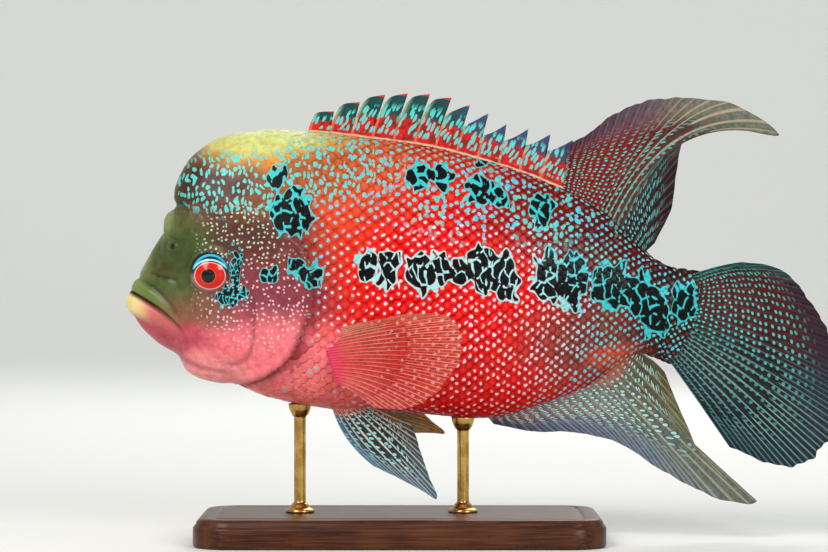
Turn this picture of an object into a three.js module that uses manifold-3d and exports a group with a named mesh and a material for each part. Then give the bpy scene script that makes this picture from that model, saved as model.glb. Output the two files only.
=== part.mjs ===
// Flowerhorn cichlid, a life-size still model on a display stand.
// Millimetres, +Z up, snout towards -X, the fish's left side towards -Y.
// The origin is the centre of the stand's underside, and the floor is Z = 0.
import * as THREE from "three";
import { mergeVertices } from "three/addons/utils/BufferGeometryUtils.js";
import Module from "manifold-3d";

const wasm = await Module();
wasm.setup();

// Driving dimensions
const GAP = 0.3; // clear space between neighbouring pieces
const SECTION_STEPS = 12; // facets from belly to back on one side
const RIB_STEPS = 2; // facets between two ribs
const TAIL_SWING = 15; // how far the tail end curves to the fish's right
const SWING_FROM = 20; // X where that curve starts
const SWING_TO = 187;

const EYE = { x: -77.9, z: 112.9, radius: 9.0, depth: 6.0, stands_out: 3.0 }; // a ball flattened to its depth
const GILL_PLATE_DEPTH = 2.8;

const STAND = { length: 170, width: 84, height: 12, corner: 16, bevel: 1.6 };
const ROD = { radius: 2.5, in_base: 8, in_body: 10, front_x: -42, rear_x: 26.5 };
const FIN = { root: 3.2, edge: 0.8 }; // thickness of a fin at its root and at its margin
const FIN_SINK = 4; // how far the spiny fin's outline starts under the back
const SPINY_WEB = { half: 1.1, thins_over: 22, thins_by: 0.55 };
const PECTORAL_STAND = { sunk: 1.5, out: 12.5, cup: 2.5 };
const PELVIC_STAND = { root: 6.5, out: 9.0 };

// Ribs of the body, nose to tail: where each one meets the back and the belly (x, z).
const RIBS = [
  { back: [-112.4, 105.6], belly: [-114.2, 103.2] },
  { back: [-110.2, 110.5], belly: [-112.8, 96.0] },
  { back: [-105.0, 120.5], belly: [-108.5, 89.0] },
  { back: [-99.5, 130.0], belly: [-101.0, 82.5] },
  { back: [-98.2, 137.0], belly: [-94.5, 78.6] },
  { back: [-95.2, 141.0], belly: [-90.5, 75.0] },
  { back: [-94.0, 150.0], belly: [-87.5, 70.5] },
  { back: [-89.0, 160.0], belly: [-82.5, 67.6] },
  { back: [-80.5, 167.3], belly: [-76.0, 66.2] },
  { back: [-69.0, 172.0], belly: [-69.0, 65.6] },
  { back: [-54.0, 173.4], belly: [-56.0, 60.4] },
  { back: [-34.5, 172.2], belly: [-39.0, 56.6] },
  { back: [-12.5, 169.5], belly: [-18.0, 54.2] },
  { back: [12.5, 166.0], belly: [8.0, 53.2] },
  { back: [38.0, 159.5], belly: [35.5, 51.4] },
  { back: [61.0, 151.5], belly: [58.0, 56.8] },
  { back: [84.0, 140.0], belly: [80.0, 65.2] },
  { back: [101.0, 124.0], belly: [97.5, 77.6] },
  { back: [112.5, 116.0], belly: [107.0, 77.0] },
  { back: [126.0, 113.2], belly: [114.5, 74.0] },
  { back: [130.5, 109.5], belly: [119.5, 73.5] },
];
// Along the body's middle: half its width, and how high up the rib its widest place is.
const HALF_WIDTHS = [
  [-113.5, 2.5], [-110, 8.2], [-104, 12.6], [-96, 16.6], [-86, 20.6], [-70, 24.8],
  [-45, 27.6], [-20, 28.0], [10, 26.4], [40, 22.4], [70, 16.4], [95, 11.2], [113, 6.2], [121, 3.0], [126, 1.3],
];
const WIDEST_SHARES = [[-114, 0.42], [-85, 0.36], [-60, 0.4], [0, 0.44], [60, 0.48], [125, 0.5]];
// Fullness of the upper and lower half of a section: 2 is an ellipse, more is squarer.
const UPPER_FULLNESS = [[-114, 2.2], [-92, 2.5], [-60, 2.4], [-30, 2.05], [20, 1.85], [125, 1.9]];
const LOWER_FULLNESS = [[-114, 2.1], [-80, 2.1], [-40, 2.2], [0, 2.15], [50, 1.95], [125, 1.9]];

// One number of a Catmull-Rom curve through evenly spaced values, at place s.
function smooth(values, s) {
  const last = values.length - 1;
  const i = Math.min(Math.floor(s), last - 1);
  const t = s - i;
  const b = values[i];
  const c = values[i + 1];
  const a = i > 0 ? values[i - 1] : 2 * b - c;
  const d = i + 2 <= last ? values[i + 2] : 2 * c - b;
  return 0.5 * (2 * b + (c - a) * t + (2 * a - 5 * b + 4 * c - d) * t * t + (3 * b - a - 3 * c + d) * t ** 3);
}

// The value at x of a table of [x, value], eased between its rows.
function along(table, x) {
  let i = 0;
  while (i < table.length - 2 && x > table[i + 1][0]) i += 1;
  const [x0] = table[i];
  const [x1] = table[i + 1];
  const t = THREE.MathUtils.clamp((x - x0) / (x1 - x0), 0, 1);
  return smooth(table.map((row) => row[1]), i + t);
}

// A point at place s, 0 to the number of points less one, on the curve through points.
function curvePoint(points, s) {
  return [smooth(points.map((p) => p[0]), s), smooth(points.map((p) => p[1]), s)];
}

function swing(x) {
  return TAIL_SWING * Math.max(0, (x - SWING_FROM) / (SWING_TO - SWING_FROM)) ** 2;
}

// The ends and half width of the rib at place s.
function rib(s) {
  const top = curvePoint(RIBS.map((r) => r.back), s);
  const bottom = curvePoint(RIBS.map((r) => r.belly), s);
  const x = (top[0] + bottom[0]) / 2;
  return { top, bottom, x, width: along(HALF_WIDTHS, x), widest: along(WIDEST_SHARES, x) };
}

// A point of the body's surface: s along it, angle -90 at the belly to 90 degrees at the back, side -1 or 1.
function bodyPoint(s, angle, side, grow) {
  const r = rib(s);
  const upper = angle >= 0;
  const power = 2 / along(upper ? UPPER_FULLNESS : LOWER_FULLNESS, r.x);
  const rise = Math.abs(Math.sin(angle)) ** power;
  const share = upper ? r.widest + (1 - r.widest) * rise : r.widest * (1 - rise);
  const out = (r.width + grow) * Math.abs(Math.cos(angle)) ** power;
  const height = Math.hypot(r.top[0] - r.bottom[0], r.top[1] - r.bottom[1]);
  const stretched = share + ((2 * share - 1) * Math.max(0, grow)) / height;
  const x = r.bottom[0] + (r.top[0] - r.bottom[0]) * stretched;
  const z = r.bottom[1] + (r.top[1] - r.bottom[1]) * stretched;
  return [x, side * out + swing(x), z];
}

function solidOf(geometry) {
  const bare = new THREE.BufferGeometry();
  const flat = geometry.index ? geometry.toNonIndexed() : geometry;
  bare.setAttribute("position", flat.getAttribute("position"));
  const merged = mergeVertices(bare, 1e-4);
  const mesh = new wasm.Mesh({
    numProp: 3,
    vertProperties: new Float32Array(merged.attributes.position.array),
    triVerts: new Uint32Array(merged.index.array),
  });
  return new wasm.Manifold(mesh);
}

function geometryOf(solid) {
  const mesh = solid.getMesh();
  const geometry = new THREE.BufferGeometry();
  geometry.setAttribute("position", new THREE.BufferAttribute(mesh.vertProperties, 3));
  geometry.setIndex(new THREE.BufferAttribute(mesh.triVerts, 1));
  const flat = geometry.toNonIndexed();
  flat.computeVertexNormals();
  return flat;
}

// A closed solid from rings of points, with a point in the middle of each end.
function loftSolid(rings) {
  const count = rings[0].length;
  const places = rings.flat();
  const middle = (ring) => [0, 1, 2].map((k) => ring.reduce((sum, p) => sum + p[k], 0) / count);
  places.push(middle(rings[0]), middle(rings[rings.length - 1]));
  const faces = [];
  for (let i = 0; i < rings.length - 1; i += 1)
    for (let j = 0; j < count; j += 1) {
      const a = i * count + j;
      const b = i * count + ((j + 1) % count);
      faces.push(a, b, a + count, b, b + count, a + count);
    }
  const last = (rings.length - 1) * count;
  for (let j = 0; j < count; j += 1) {
    const next = (j + 1) % count;
    faces.push(places.length - 2, next, j);
    faces.push(places.length - 1, last + j, last + next);
  }
  const geometry = new THREE.BufferGeometry();
  geometry.setAttribute("position", new THREE.Float32BufferAttribute(places.flat(), 3));
  geometry.setIndex(faces);
  return solidOf(geometry);
}

// The whole body without fins. grow moves the surface out, or in where it is negative.
function bodySolid(grow) {
  const rings = [];
  const steps = (RIBS.length - 1) * RIB_STEPS;
  for (let i = 0; i <= steps; i += 1) {
    const s = i / RIB_STEPS;
    const ring = [];
    for (let j = 0; j <= SECTION_STEPS; j += 1)
      ring.push(bodyPoint(s, Math.PI * (j / SECTION_STEPS - 0.5), -1, grow));
    for (let j = SECTION_STEPS - 1; j > 0; j -= 1)
      ring.push(bodyPoint(s, Math.PI * (j / SECTION_STEPS - 0.5), 1, grow));
    rings.push(ring);
  }
  return outward(rings);
}

// A flat outline of (x, z) points, made into a bar that runs right through the fish from side to side.
function throughBar(outline, from = -70, to = 70) {
  const shape = new THREE.Shape(outline.map(([x, z]) => new THREE.Vector2(x, z)));
  const geometry = new THREE.ExtrudeGeometry(shape, { depth: to - from, bevelEnabled: false });
  geometry.rotateX(Math.PI / 2);
  geometry.translate(0, to, 0);
  return solidOf(geometry);
}

// A cut as thin as the gap, along the curve through points.
function blade(points, steps = 2) {
  const line = [];
  for (let i = 0; i <= (points.length - 1) * steps; i += 1) line.push(curvePoint(points, i / steps));
  const sides = [[], []];
  line.forEach(([x, z], i) => {
    const before = line[Math.max(0, i - 1)];
    const after = line[Math.min(line.length - 1, i + 1)];
    const length = Math.hypot(after[0] - before[0], after[1] - before[1]);
    const normal = [-(after[1] - before[1]) / length, (after[0] - before[0]) / length];
    sides[0].push([x + (normal[0] * GAP) / 2, z + (normal[1] * GAP) / 2]);
    sides[1].push([x - (normal[0] * GAP) / 2, z - (normal[1] * GAP) / 2]);
  });
  return throughBar([...sides[0], ...sides[1].reverse()]);
}

// The two largest pieces that a cut leaves, the one further along direction first.
function partAt(solid, cut, direction) {
  const pieces = solid.subtract(cut).decompose().sort((a, b) => b.volume() - a.volume()).slice(0, 2);
  const reach = (piece) => {
    const box = piece.boundingBox();
    return [0, 2].reduce((sum, k) => sum + ((box.min[k] + box.max[k]) / 2) * direction[k === 0 ? 0 : 1], 0);
  };
  return pieces.sort((a, b) => reach(b) - reach(a));
}

// Lines of the head, in (x, z)
const GILL_OPENING = [
  [-29.0, 182.0], [-31.5, 165.0], [-37.0, 142.0], [-39.0, 123.0], [-36.0, 112.0], [-35.5, 101.0],
  [-39.5, 88.5], [-45.5, 76.5], [-55.0, 69.4], [-69.5, 66.0], [-78.0, 58.0],
];
const HUMP_EDGE = [[-106.0, 140.5], [-95.4, 140.6], [-82.0, 134.5], [-64.0, 137.5], [-47.0, 148.0], [-24.0, 168.0]];
const MOUTH_LINE = [
  [-121.0, 110.0], [-113.6, 105.2], [-106.0, 101.0], [-98.5, 96.2], [-91.5, 89.5],
  [-87.6, 82.5], [-90.0, 74.5], [-94.0, 66.0],
];
const LIP_GROOVE = [[-118.0, 115.0], [-109.6, 110.9], [-100.0, 104.6], [-92.8, 96.6], [-88.0, 88.0], [-89.2, 80.0]];
const GILL_PLATE = [
  [-60.0, 107.0], [-60.2, 88.0], [-61.8, 79.5], [-65.5, 75.0], [-67.0, 70.5], [-60.0, 62.0],
  [-30.0, 62.0], [-30.0, 120.0], [-41.0, 120.5], [-50.0, 116.0],
];
const STALK_CUT = [[107.5, 140.0], [105.5, 118.0], [103.0, 96.0], [100.5, 70.0]];

// Fins. A fin is a fan of rays. Each row of its table is [u, base, bend, margin], where u runs from the first ray
// to the last, and a ray leaves the base, bends at the middle point and ends on the margin.
const SOFT_DORSAL = [
  [0.0, [68.5, 147.0], [70.0, 160.0], [71.5, 167.0]],
  [0.1, [72.0, 145.5], [76.5, 161.0], [80.5, 172.0]],
  [0.22, [76.0, 143.5], [84.0, 162.0], [90.0, 179.5]],
  [0.36, [81.0, 141.0], [94.0, 163.0], [104.0, 185.0]],
  [0.48, [85.0, 138.5], [102.0, 169.0], [120.0, 186.8]],
  [0.56, [88.0, 136.0], [109.0, 178.0], [142.0, 183.5]],
  [0.62, [90.5, 133.5], [113.0, 183.0], [161.5, 171.0]],
  [0.67, [92.5, 131.5], [112.0, 174.0], [134.0, 174.8]],
  [0.73, [94.5, 129.5], [107.0, 158.0], [121.0, 171.0]],
  [0.81, [97.0, 127.0], [105.5, 146.0], [117.0, 158.0]],
  [0.9, [99.5, 124.0], [106.0, 134.0], [114.5, 140.5]],
  [1.0, [102.5, 120.5], [104.5, 122.5], [107.0, 125.0]],
];
const TAIL_FIN = [
  [0.0, [122.0, 111.5], [133.0, 115.8], [144.0, 117.2]],
  [0.06, [123.2, 109.5], [140.0, 116.4], [157.5, 115.4]],
  [0.14, [124.5, 107.0], [146.0, 114.0], [168.0, 108.5]],
  [0.3, [123.0, 101.5], [150.0, 103.0], [180.5, 91.0]],
  [0.45, [121.0, 96.0], [151.0, 90.0], [186.0, 72.0]],
  [0.6, [119.0, 90.5], [149.0, 78.0], [186.0, 54.0]],
  [0.75, [117.0, 85.5], [143.0, 68.0], [177.0, 36.5]],
  [0.88, [115.0, 80.5], [135.0, 61.0], [160.0, 31.0]],
  [1.0, [112.5, 77.0], [124.0, 61.0], [139.0, 39.5]],
];
const ANAL_FIN = [
  [0.0, [36.0, 54.0], [37.0, 51.5], [39.5, 49.0]],
  [0.15, [46.0, 56.0], [50.0, 51.0], [56.0, 46.0]],
  [0.3, [56.0, 60.0], [64.0, 53.0], [74.0, 45.5]],
  [0.45, [66.0, 64.0], [79.0, 54.0], [92.0, 41.0]],
  [0.6, [75.0, 68.5], [94.0, 55.0], [112.0, 28.5]],
  [0.72, [81.5, 72.0], [103.0, 52.0], [131.0, 18.8]],
  [0.8, [86.0, 74.5], [108.0, 54.0], [151.0, 15.8]],
  [0.86, [89.5, 76.5], [107.0, 60.0], [130.0, 31.5]],
  [0.93, [93.5, 79.0], [106.5, 68.0], [119.6, 51.6]],
  [1.0, [97.5, 81.0], [105.5, 78.0], [111.5, 71.0]],
];
const PECTORAL = [
  [0.0, [-31.5, 89.0], [-12.0, 92.6], [4.0, 96.2]],
  [0.22, [-31.0, 84.5], [-8.0, 91.0], [20.5, 94.5]],
  [0.45, [-30.0, 79.5], [-7.0, 84.0], [25.6, 82.5]],
  [0.68, [-28.5, 74.5], [-9.0, 76.5], [19.5, 69.0]],
  [0.86, [-26.5, 70.0], [-12.0, 69.0], [6.0, 58.0]],
  [1.0, [-24.5, 66.5], [-17.5, 63.5], [-10.0, 57.5]],
];
const PELVIC = [
  [0.0, [-28.5, 57.5], [-25.0, 43.0], [-11.0, 32.6]],
  [0.3, [-25.0, 57.5], [-16.0, 42.0], [6.0, 24.2]],
  [0.5, [-22.0, 57.8], [-8.0, 45.0], [15.4, 19.4]],
  [0.68, [-19.5, 58.0], [-4.0, 47.5], [10.8, 32.0]],
  [1.0, [-15.5, 58.5], [-6.0, 53.5], [5.0, 49.5]],
];
const SPINES = { count: 12, first_x: -38.4, pitch: 8.82, lean: 3.4, tip_lean: 13.2, end_gap: 0.4 };
// Along the spiny fin, by spine number: height of the web's notch and of the lappet's tip over the back.
const NOTCH_HEIGHTS = [[0, 3.0], [2, 6.5], [4, 8.0], [7, 9.5], [9, 10.5], [11, 13.0]];
const LAPPET_HEIGHTS = [
  [0, 9.0], [1, 14.3], [2, 18.7], [4, 21.8], [5, 22.3], [7, 20.0], [8, 17.8], [9, 19.0], [11, 22.5],
];

function bezier(a, b, c, t) {
  return [0, 1].map((k) => a[k] * (1 - t) ** 2 + 2 * b[k] * t * (1 - t) + c[k] * t * t);
}

// Where ray u of a fin table is at share t of its length, in (x, z).
function rayPoint(table, u, t) {
  let i = 0;
  while (i < table.length - 2 && u > table[i + 1][0]) i += 1;
  const s = i + (u - table[i][0]) / (table[i + 1][0] - table[i][0]);
  const ends = [1, 2, 3].map((column) => curvePoint(table.map((row) => row[column]), s));
  return bezier(ends[0], ends[1], ends[2], t);
}

// A thin plate over the fan of rays, whose middle is at the Y that depthAt gives.
function finSolid(table, raySteps, lengthSteps, depthAt) {
  const half = (t) => (FIN.root + (FIN.edge - FIN.root) * t ** 0.7) / 2;
  const rings = [];
  for (let i = 0; i <= raySteps; i += 1) {
    const u = i / raySteps;
    const ring = [];
    for (let j = 0; j <= lengthSteps; j += 1) {
      const t = j / lengthSteps;
      const [x, z] = rayPoint(table, u, t);
      ring.push([x, depthAt(x, z, u, t) - half(t), z]);
    }
    for (let j = lengthSteps; j >= 0; j -= 1) {
      const t = j / lengthSteps;
      const [x, z] = rayPoint(table, u, t);
      ring.push([x, depthAt(x, z, u, t) + half(t), z]);
    }
    rings.push(ring);
  }
  return outward(rings);
}

// The loft of rings, turned face outwards whichever way the rings run.
function outward(rings) {
  const made = loftSolid(rings);
  return made.volume() > 0 ? made : loftSolid(rings.map((ring) => [...ring].reverse()));
}

// Height of the back at x.
function backHeight(x) {
  let low = 0;
  let high = RIBS.length - 1;
  for (let i = 0; i < 40; i += 1) {
    const middle = (low + high) / 2;
    if (curvePoint(RIBS.map((r) => r.back), middle)[0] < x) low = middle;
    else high = middle;
  }
  return curvePoint(RIBS.map((r) => r.back), low)[1];
}

// Half width of the body at (x, z), from the rib at that x and height.
function halfWidthAt(x, z) {
  let best = { miss: Infinity, y: 0 };
  for (let s = 0; s <= RIBS.length - 1; s += 0.1)
    for (let a = -80; a <= 80; a += 4) {
      const [px, py, pz] = bodyPoint(s, THREE.MathUtils.degToRad(a), 1, 0);
      const miss = Math.hypot(px - x, pz - z);
      if (miss < best.miss) best = { miss, y: py - swing(px) };
    }
  return best.y;
}

// The spiny part of the dorsal fin: a web with a pointed lappet behind each spine.
function spinyDorsal() {
  const outline = [[SPINES.first_x - 1.5, backHeight(SPINES.first_x) - FIN_SINK]];
  for (let i = 0; i < SPINES.count; i += 1) {
    const x = SPINES.first_x + i * SPINES.pitch;
    const foot = backHeight(x + SPINES.lean);
    const notch = foot + along(NOTCH_HEIGHTS, i);
    const tip = backHeight(x + SPINES.tip_lean) + along(LAPPET_HEIGHTS, i);
    outline.push([x + SPINES.lean, notch]);
    outline.push([x + SPINES.tip_lean - 5.0, tip - 1.2]);
    outline.push([x + SPINES.tip_lean, tip]);
    outline.push([x + SPINES.tip_lean - 0.6, (tip + notch) / 2 - 0.5]);
  }
  const end = SPINES.first_x + SPINES.count * SPINES.pitch - SPINES.end_gap;
  outline.push([end, backHeight(end) - FIN_SINK]);
  for (let i = SPINES.count - 1; i > 0; i -= 1) {
    const x = SPINES.first_x + i * SPINES.pitch;
    outline.push([x, backHeight(x) - FIN_SINK]);
  }
  const plate = throughBar(outline, -SPINY_WEB.half, SPINY_WEB.half);
  return plate.warp((v) => {
    const share = THREE.MathUtils.clamp((v[2] - backHeight(v[0])) / SPINY_WEB.thins_over, 0, 1);
    v[1] = v[1] * (1 - SPINY_WEB.thins_by * share) + swing(v[0]);
  });
}

// Body and its cuts
function makeBody() {
  const whole = bodySolid(0);
  const [trunkAll, headAll] = partAt(whole, blade(GILL_OPENING), [1, 0]);
  const [stalk, trunk] = partAt(trunkAll, blade(STALK_CUT), [1, 0]);
  const [hump, face] = partAt(headAll, blade(HUMP_EDGE), [0, 1]);
  const [faceUpper, lowerJaw] = partAt(face, blade(MOUTH_LINE), [1, 1]);
  const [skull, upperLip] = partAt(faceUpper, blade(LIP_GROOVE), [1, 1]);
  return { trunk, stalk, hump, skull, upperLip, lowerJaw };
}

// An outline moved inwards by an amount, for corners that aren't sharp.
function inset(outline, amount) {
  const turn = Math.sign(THREE.ShapeUtils.area(outline.map(([x, z]) => new THREE.Vector2(x, z))));
  return outline.map(([x, z], i) => {
    const before = outline[(i + outline.length - 1) % outline.length];
    const after = outline[(i + 1) % outline.length];
    const edges = [[x - before[0], z - before[1]], [after[0] - x, after[1] - z]];
    const normals = edges.map(([dx, dz]) => [-dz / Math.hypot(dx, dz), dx / Math.hypot(dx, dz)]);
    const sum = [normals[0][0] + normals[1][0], normals[0][1] + normals[1][1]];
    const scale = (turn * amount * 2) / (sum[0] ** 2 + sum[1] ** 2);
    return [x + sum[0] * scale, z + sum[1] * scale];
  });
}

// The gill covers are plates on the cheek, GILL_PLATE_DEPTH thick, each in a seat with a gap round it.
function gillPlates(skull) {
  const plates = skull.intersect(throughBar(inset(GILL_PLATE, GAP))).subtract(bodySolid(-GILL_PLATE_DEPTH));
  const seat = throughBar(GILL_PLATE).subtract(bodySolid(-GILL_PLATE_DEPTH - GAP));
  const sides = plates.decompose().sort((a, b) => b.volume() - a.volume()).slice(0, 2);
  sides.sort((a, b) => a.boundingBox().min[1] - b.boundingBox().min[1]);
  return { head: skull.subtract(seat), left: sides[0], right: sides[1] };
}

function flatBall(y, grow) {
  const geometry = new THREE.SphereGeometry(1, 16, 11);
  geometry.scale(EYE.radius + grow, EYE.depth + grow, EYE.radius + grow);
  geometry.translate(EYE.x, y, EYE.z);
  return solidOf(geometry);
}

function eyes() {
  const reach = halfWidthAt(EYE.x, EYE.z) - EYE.depth + EYE.stands_out;
  return [-1, 1].map((side) => ({ ball: flatBall(side * reach, 0), socket: flatBall(side * reach, GAP) }));
}

// The pectoral fin stands off the flank a little more towards its margin.
function pectoralDepth(side) {
  const root = halfWidthAt(-29, 80) - PECTORAL_STAND.sunk;
  const { out, cup } = PECTORAL_STAND;
  return (x, z, u, t) => side * (root + out * t ** 1.1 + cup * Math.sin(Math.PI * u) * t);
}

// The right pelvic fin is folded further back than the left one, and is smaller.
const RIGHT_PELVIC_FOLD = THREE.MathUtils.degToRad(28);
const RIGHT_PELVIC_SIZE = 0.8;
const PELVIC_HINGE = [-22.0, 58.0];

function foldedPelvic() {
  const turn = (p) => {
    const dx = p[0] - PELVIC_HINGE[0];
    const dz = p[1] - PELVIC_HINGE[1];
    const c = RIGHT_PELVIC_SIZE * Math.cos(RIGHT_PELVIC_FOLD);
    const s = RIGHT_PELVIC_SIZE * Math.sin(RIGHT_PELVIC_FOLD);
    return [PELVIC_HINGE[0] + dx * c - dz * s, PELVIC_HINGE[1] + dx * s + dz * c];
  };
  return PELVIC.map(([u, base, bend, margin]) => [u, base, turn(bend), turn(margin)]);
}

function pelvicDepth(side) {
  return (x, z, u, t) => side * (PELVIC_STAND.root + PELVIC_STAND.out * t);
}

function tailDepth(x, z, u, t) {
  return swing(x) + 4.5 * t * t * Math.sin(2.4 * Math.PI * (u - 0.12));
}

function softDorsalDepth(x, z, u, t) {
  return swing(x) + 3.2 * t * t * Math.sin(Math.PI * (1.6 * u - 0.3));
}

function analDepth(x, z, u, t) {
  return swing(x) - 2.6 * t * t * Math.sin(Math.PI * (1.4 * u - 0.25));
}

// Stand: a flat plate with a bevelled rim, and two rods that reach into the belly.
function standBase() {
  const inset = STAND.bevel;
  const halfLength = STAND.length / 2 - inset;
  const halfWidth = STAND.width / 2 - inset;
  const corner = STAND.corner - inset;
  const shape = new THREE.Shape();
  shape.moveTo(-halfLength + corner, -halfWidth);
  shape.lineTo(halfLength - corner, -halfWidth);
  shape.absarc(halfLength - corner, -halfWidth + corner, corner, -Math.PI / 2, 0);
  shape.absarc(halfLength - corner, halfWidth - corner, corner, 0, Math.PI / 2);
  shape.absarc(-halfLength + corner, halfWidth - corner, corner, Math.PI / 2, Math.PI);
  shape.absarc(-halfLength + corner, -halfWidth + corner, corner, Math.PI, 1.5 * Math.PI);
  const geometry = new THREE.ExtrudeGeometry(shape, {
    depth: STAND.height - 2 * inset,
    bevelThickness: inset,
    bevelSize: inset,
    bevelSegments: 2,
    curveSegments: 6,
  });
  geometry.translate(0, 0, inset);
  return solidOf(geometry);
}

function rod(x, radius, from, to) {
  const geometry = new THREE.CylinderGeometry(radius, radius, to - from, 16);
  geometry.rotateX(Math.PI / 2);
  geometry.translate(x, swing(x), (from + to) / 2);
  return solidOf(geometry);
}

function bellyHeight(x) {
  let found = RIBS[0].belly;
  for (let s = 0; s <= RIBS.length - 1; s += 0.02) {
    const p = curvePoint(RIBS.map((r) => r.belly), s);
    if (Math.abs(p[0] - x) < Math.abs(found[0] - x)) found = p;
  }
  return found[1];
}

function makeRods() {
  const foot = STAND.height - ROD.in_base;
  return [ROD.front_x, ROD.rear_x].map((x) => {
    const top = bellyHeight(x) + ROD.in_body;
    return {
      rod: rod(x, ROD.radius, foot, top),
      hole: rod(x, ROD.radius + GAP, foot - GAP, top + GAP),
    };
  });
}

// Materials
const LOOKS = {
  head: { color: 0xb8615a, roughness: 0.4, metalness: 0 },
  hump: { color: 0xd8b86a, roughness: 0.4, metalness: 0 },
  flank: { color: 0xd2302c, roughness: 0.35, metalness: 0.05 },
  stalk: { color: 0x2b4f57, roughness: 0.35, metalness: 0.05 },
  jaw: { color: 0xe08a7c, roughness: 0.4, metalness: 0 },
  lip: { color: 0xa7a772, roughness: 0.4, metalness: 0 },
  eye: { color: 0xd81410, roughness: 0.08, metalness: 0 },
  dark_fin: { color: 0x5d2f32, roughness: 0.45, metalness: 0 },
  pale_fin: { color: 0xcf7b6c, roughness: 0.45, metalness: 0 },
  wood: { color: 0x4a2d1c, roughness: 0.4, metalness: 0 },
  brass: { color: 0xb08d4a, roughness: 0.25, metalness: 1 },
};

const model = new THREE.Group();

function add(name, solid, look) {
  const mesh = new THREE.Mesh(geometryOf(solid), new THREE.MeshStandardMaterial(LOOKS[look]));
  mesh.name = name;
  model.add(mesh);
}

// The largest single piece of a solid, without the crumbs that a cut can leave.
function largest(solid) {
  return solid.decompose().sort((a, b) => b.volume() - a.volume())[0];
}

const clear = bodySolid(GAP);
const body = makeBody();
const gills = gillPlates(body.skull);
const eyePair = eyes();
const rods = makeRods();
const holes = rods.map((r) => r.hole);
const onBody = (fin) => largest(fin.subtract(clear));
const socketed = eyePair.reduce((head, eye) => head.subtract(eye.socket), gills.head);

add("head", largest(socketed.subtract(holes[0])), "head");
add("nuchal_hump", body.hump, "hump");
add("upper_lip", body.upperLip, "lip");
add("lower_jaw", body.lowerJaw, "jaw");
add("gill_cover_left", gills.left, "head");
add("gill_cover_right", gills.right, "head");
add("eye_left", eyePair[0].ball, "eye");
add("eye_right", eyePair[1].ball, "eye");
add("trunk", largest(body.trunk.subtract(holes[0]).subtract(holes[1])), "flank");
add("tail_stalk", body.stalk, "stalk");
add("dorsal_fin_spiny", onBody(spinyDorsal()), "dark_fin");
add("dorsal_fin_soft", onBody(finSolid(SOFT_DORSAL, 18, 6, softDorsalDepth)), "dark_fin");
add("tail_fin", onBody(finSolid(TAIL_FIN, 16, 6, tailDepth)), "dark_fin");
add("anal_fin", onBody(finSolid(ANAL_FIN, 16, 5, analDepth)), "dark_fin");
add("pectoral_fin_left", onBody(finSolid(PECTORAL, 10, 5, pectoralDepth(-1))), "pale_fin");
add("pectoral_fin_right", onBody(finSolid(PECTORAL, 10, 5, pectoralDepth(1))), "pale_fin");
add("pelvic_fin_left", onBody(finSolid(PELVIC, 8, 4, pelvicDepth(-1))), "dark_fin");
add("pelvic_fin_right", onBody(finSolid(foldedPelvic(), 8, 4, pelvicDepth(1))), "dark_fin");
add("stand_base", holes.reduce((plate, hole) => plate.subtract(hole), standBase()), "wood");
add("stand_rod_front", rods[0].rod, "brass");
add("stand_rod_rear", rods[1].rod, "brass");

export default model;
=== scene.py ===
import math
from collections import namedtuple

import bpy
import numpy as np
from mathutils import Matrix, Vector


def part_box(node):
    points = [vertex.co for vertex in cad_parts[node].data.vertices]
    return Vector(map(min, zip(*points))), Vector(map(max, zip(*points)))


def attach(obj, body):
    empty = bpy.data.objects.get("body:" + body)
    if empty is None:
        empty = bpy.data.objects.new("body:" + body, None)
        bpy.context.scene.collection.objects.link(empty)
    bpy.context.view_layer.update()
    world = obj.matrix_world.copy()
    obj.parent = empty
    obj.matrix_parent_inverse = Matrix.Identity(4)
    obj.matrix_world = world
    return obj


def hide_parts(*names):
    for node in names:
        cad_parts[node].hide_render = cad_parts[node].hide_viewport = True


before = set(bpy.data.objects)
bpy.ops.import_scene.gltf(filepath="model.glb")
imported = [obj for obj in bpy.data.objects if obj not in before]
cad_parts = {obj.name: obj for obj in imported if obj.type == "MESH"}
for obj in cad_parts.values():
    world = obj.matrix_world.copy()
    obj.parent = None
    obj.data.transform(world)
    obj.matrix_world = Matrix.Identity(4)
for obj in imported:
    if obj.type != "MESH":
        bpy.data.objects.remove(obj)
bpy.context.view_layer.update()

bl_info = {
    "name": "Flowerhorn cichlid model",
    "version": (1, 0, 0),
    "blender": (4, 5, 0),
    "location": "3D View > Sidebar > Fish",
    "description": "Builds a life-size flowerhorn cichlid on a display stand",
    "category": "Object",
}

MM = 0.001

# Form of the body, in millimetres: x runs to the tail, z up, and y is added by the half widths.
COAT = 0.5  # how far the skin lies under the outline, which the scales' edges reach
TAIL_SWING = 15.0
SWING_FROM = 20.0
SWING_TO = 187.0

BACK = np.array([
    (-112.4, 105.6), (-110.2, 110.5), (-105.0, 120.5), (-99.5, 130.0), (-98.2, 137.0), (-95.2, 141.0),
    (-94.0, 150.0), (-89.0, 160.0), (-80.5, 167.3), (-69.0, 172.0), (-54.0, 173.4), (-34.5, 172.2),
    (-12.5, 169.5), (12.5, 166.0), (38.0, 159.5), (61.0, 151.5), (84.0, 140.0), (101.0, 124.0),
    (112.5, 116.0), (126.0, 113.2), (130.5, 109.5),
])
BELLY = np.array([
    (-114.2, 103.2), (-112.8, 96.0), (-108.5, 89.0), (-101.0, 82.5), (-94.5, 78.6), (-90.5, 75.0),
    (-87.5, 70.5), (-82.5, 67.6), (-76.0, 66.2), (-69.0, 65.6), (-56.0, 60.4), (-39.0, 56.6),
    (-18.0, 54.2), (8.0, 53.2), (35.5, 51.4), (58.0, 56.8), (80.0, 65.2), (97.5, 77.6),
    (107.0, 77.0), (114.5, 74.0), (119.5, 73.5),
])
LAST_RIB = len(BACK) - 1
FIRST_FLANK_RIB = 9.0
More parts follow.
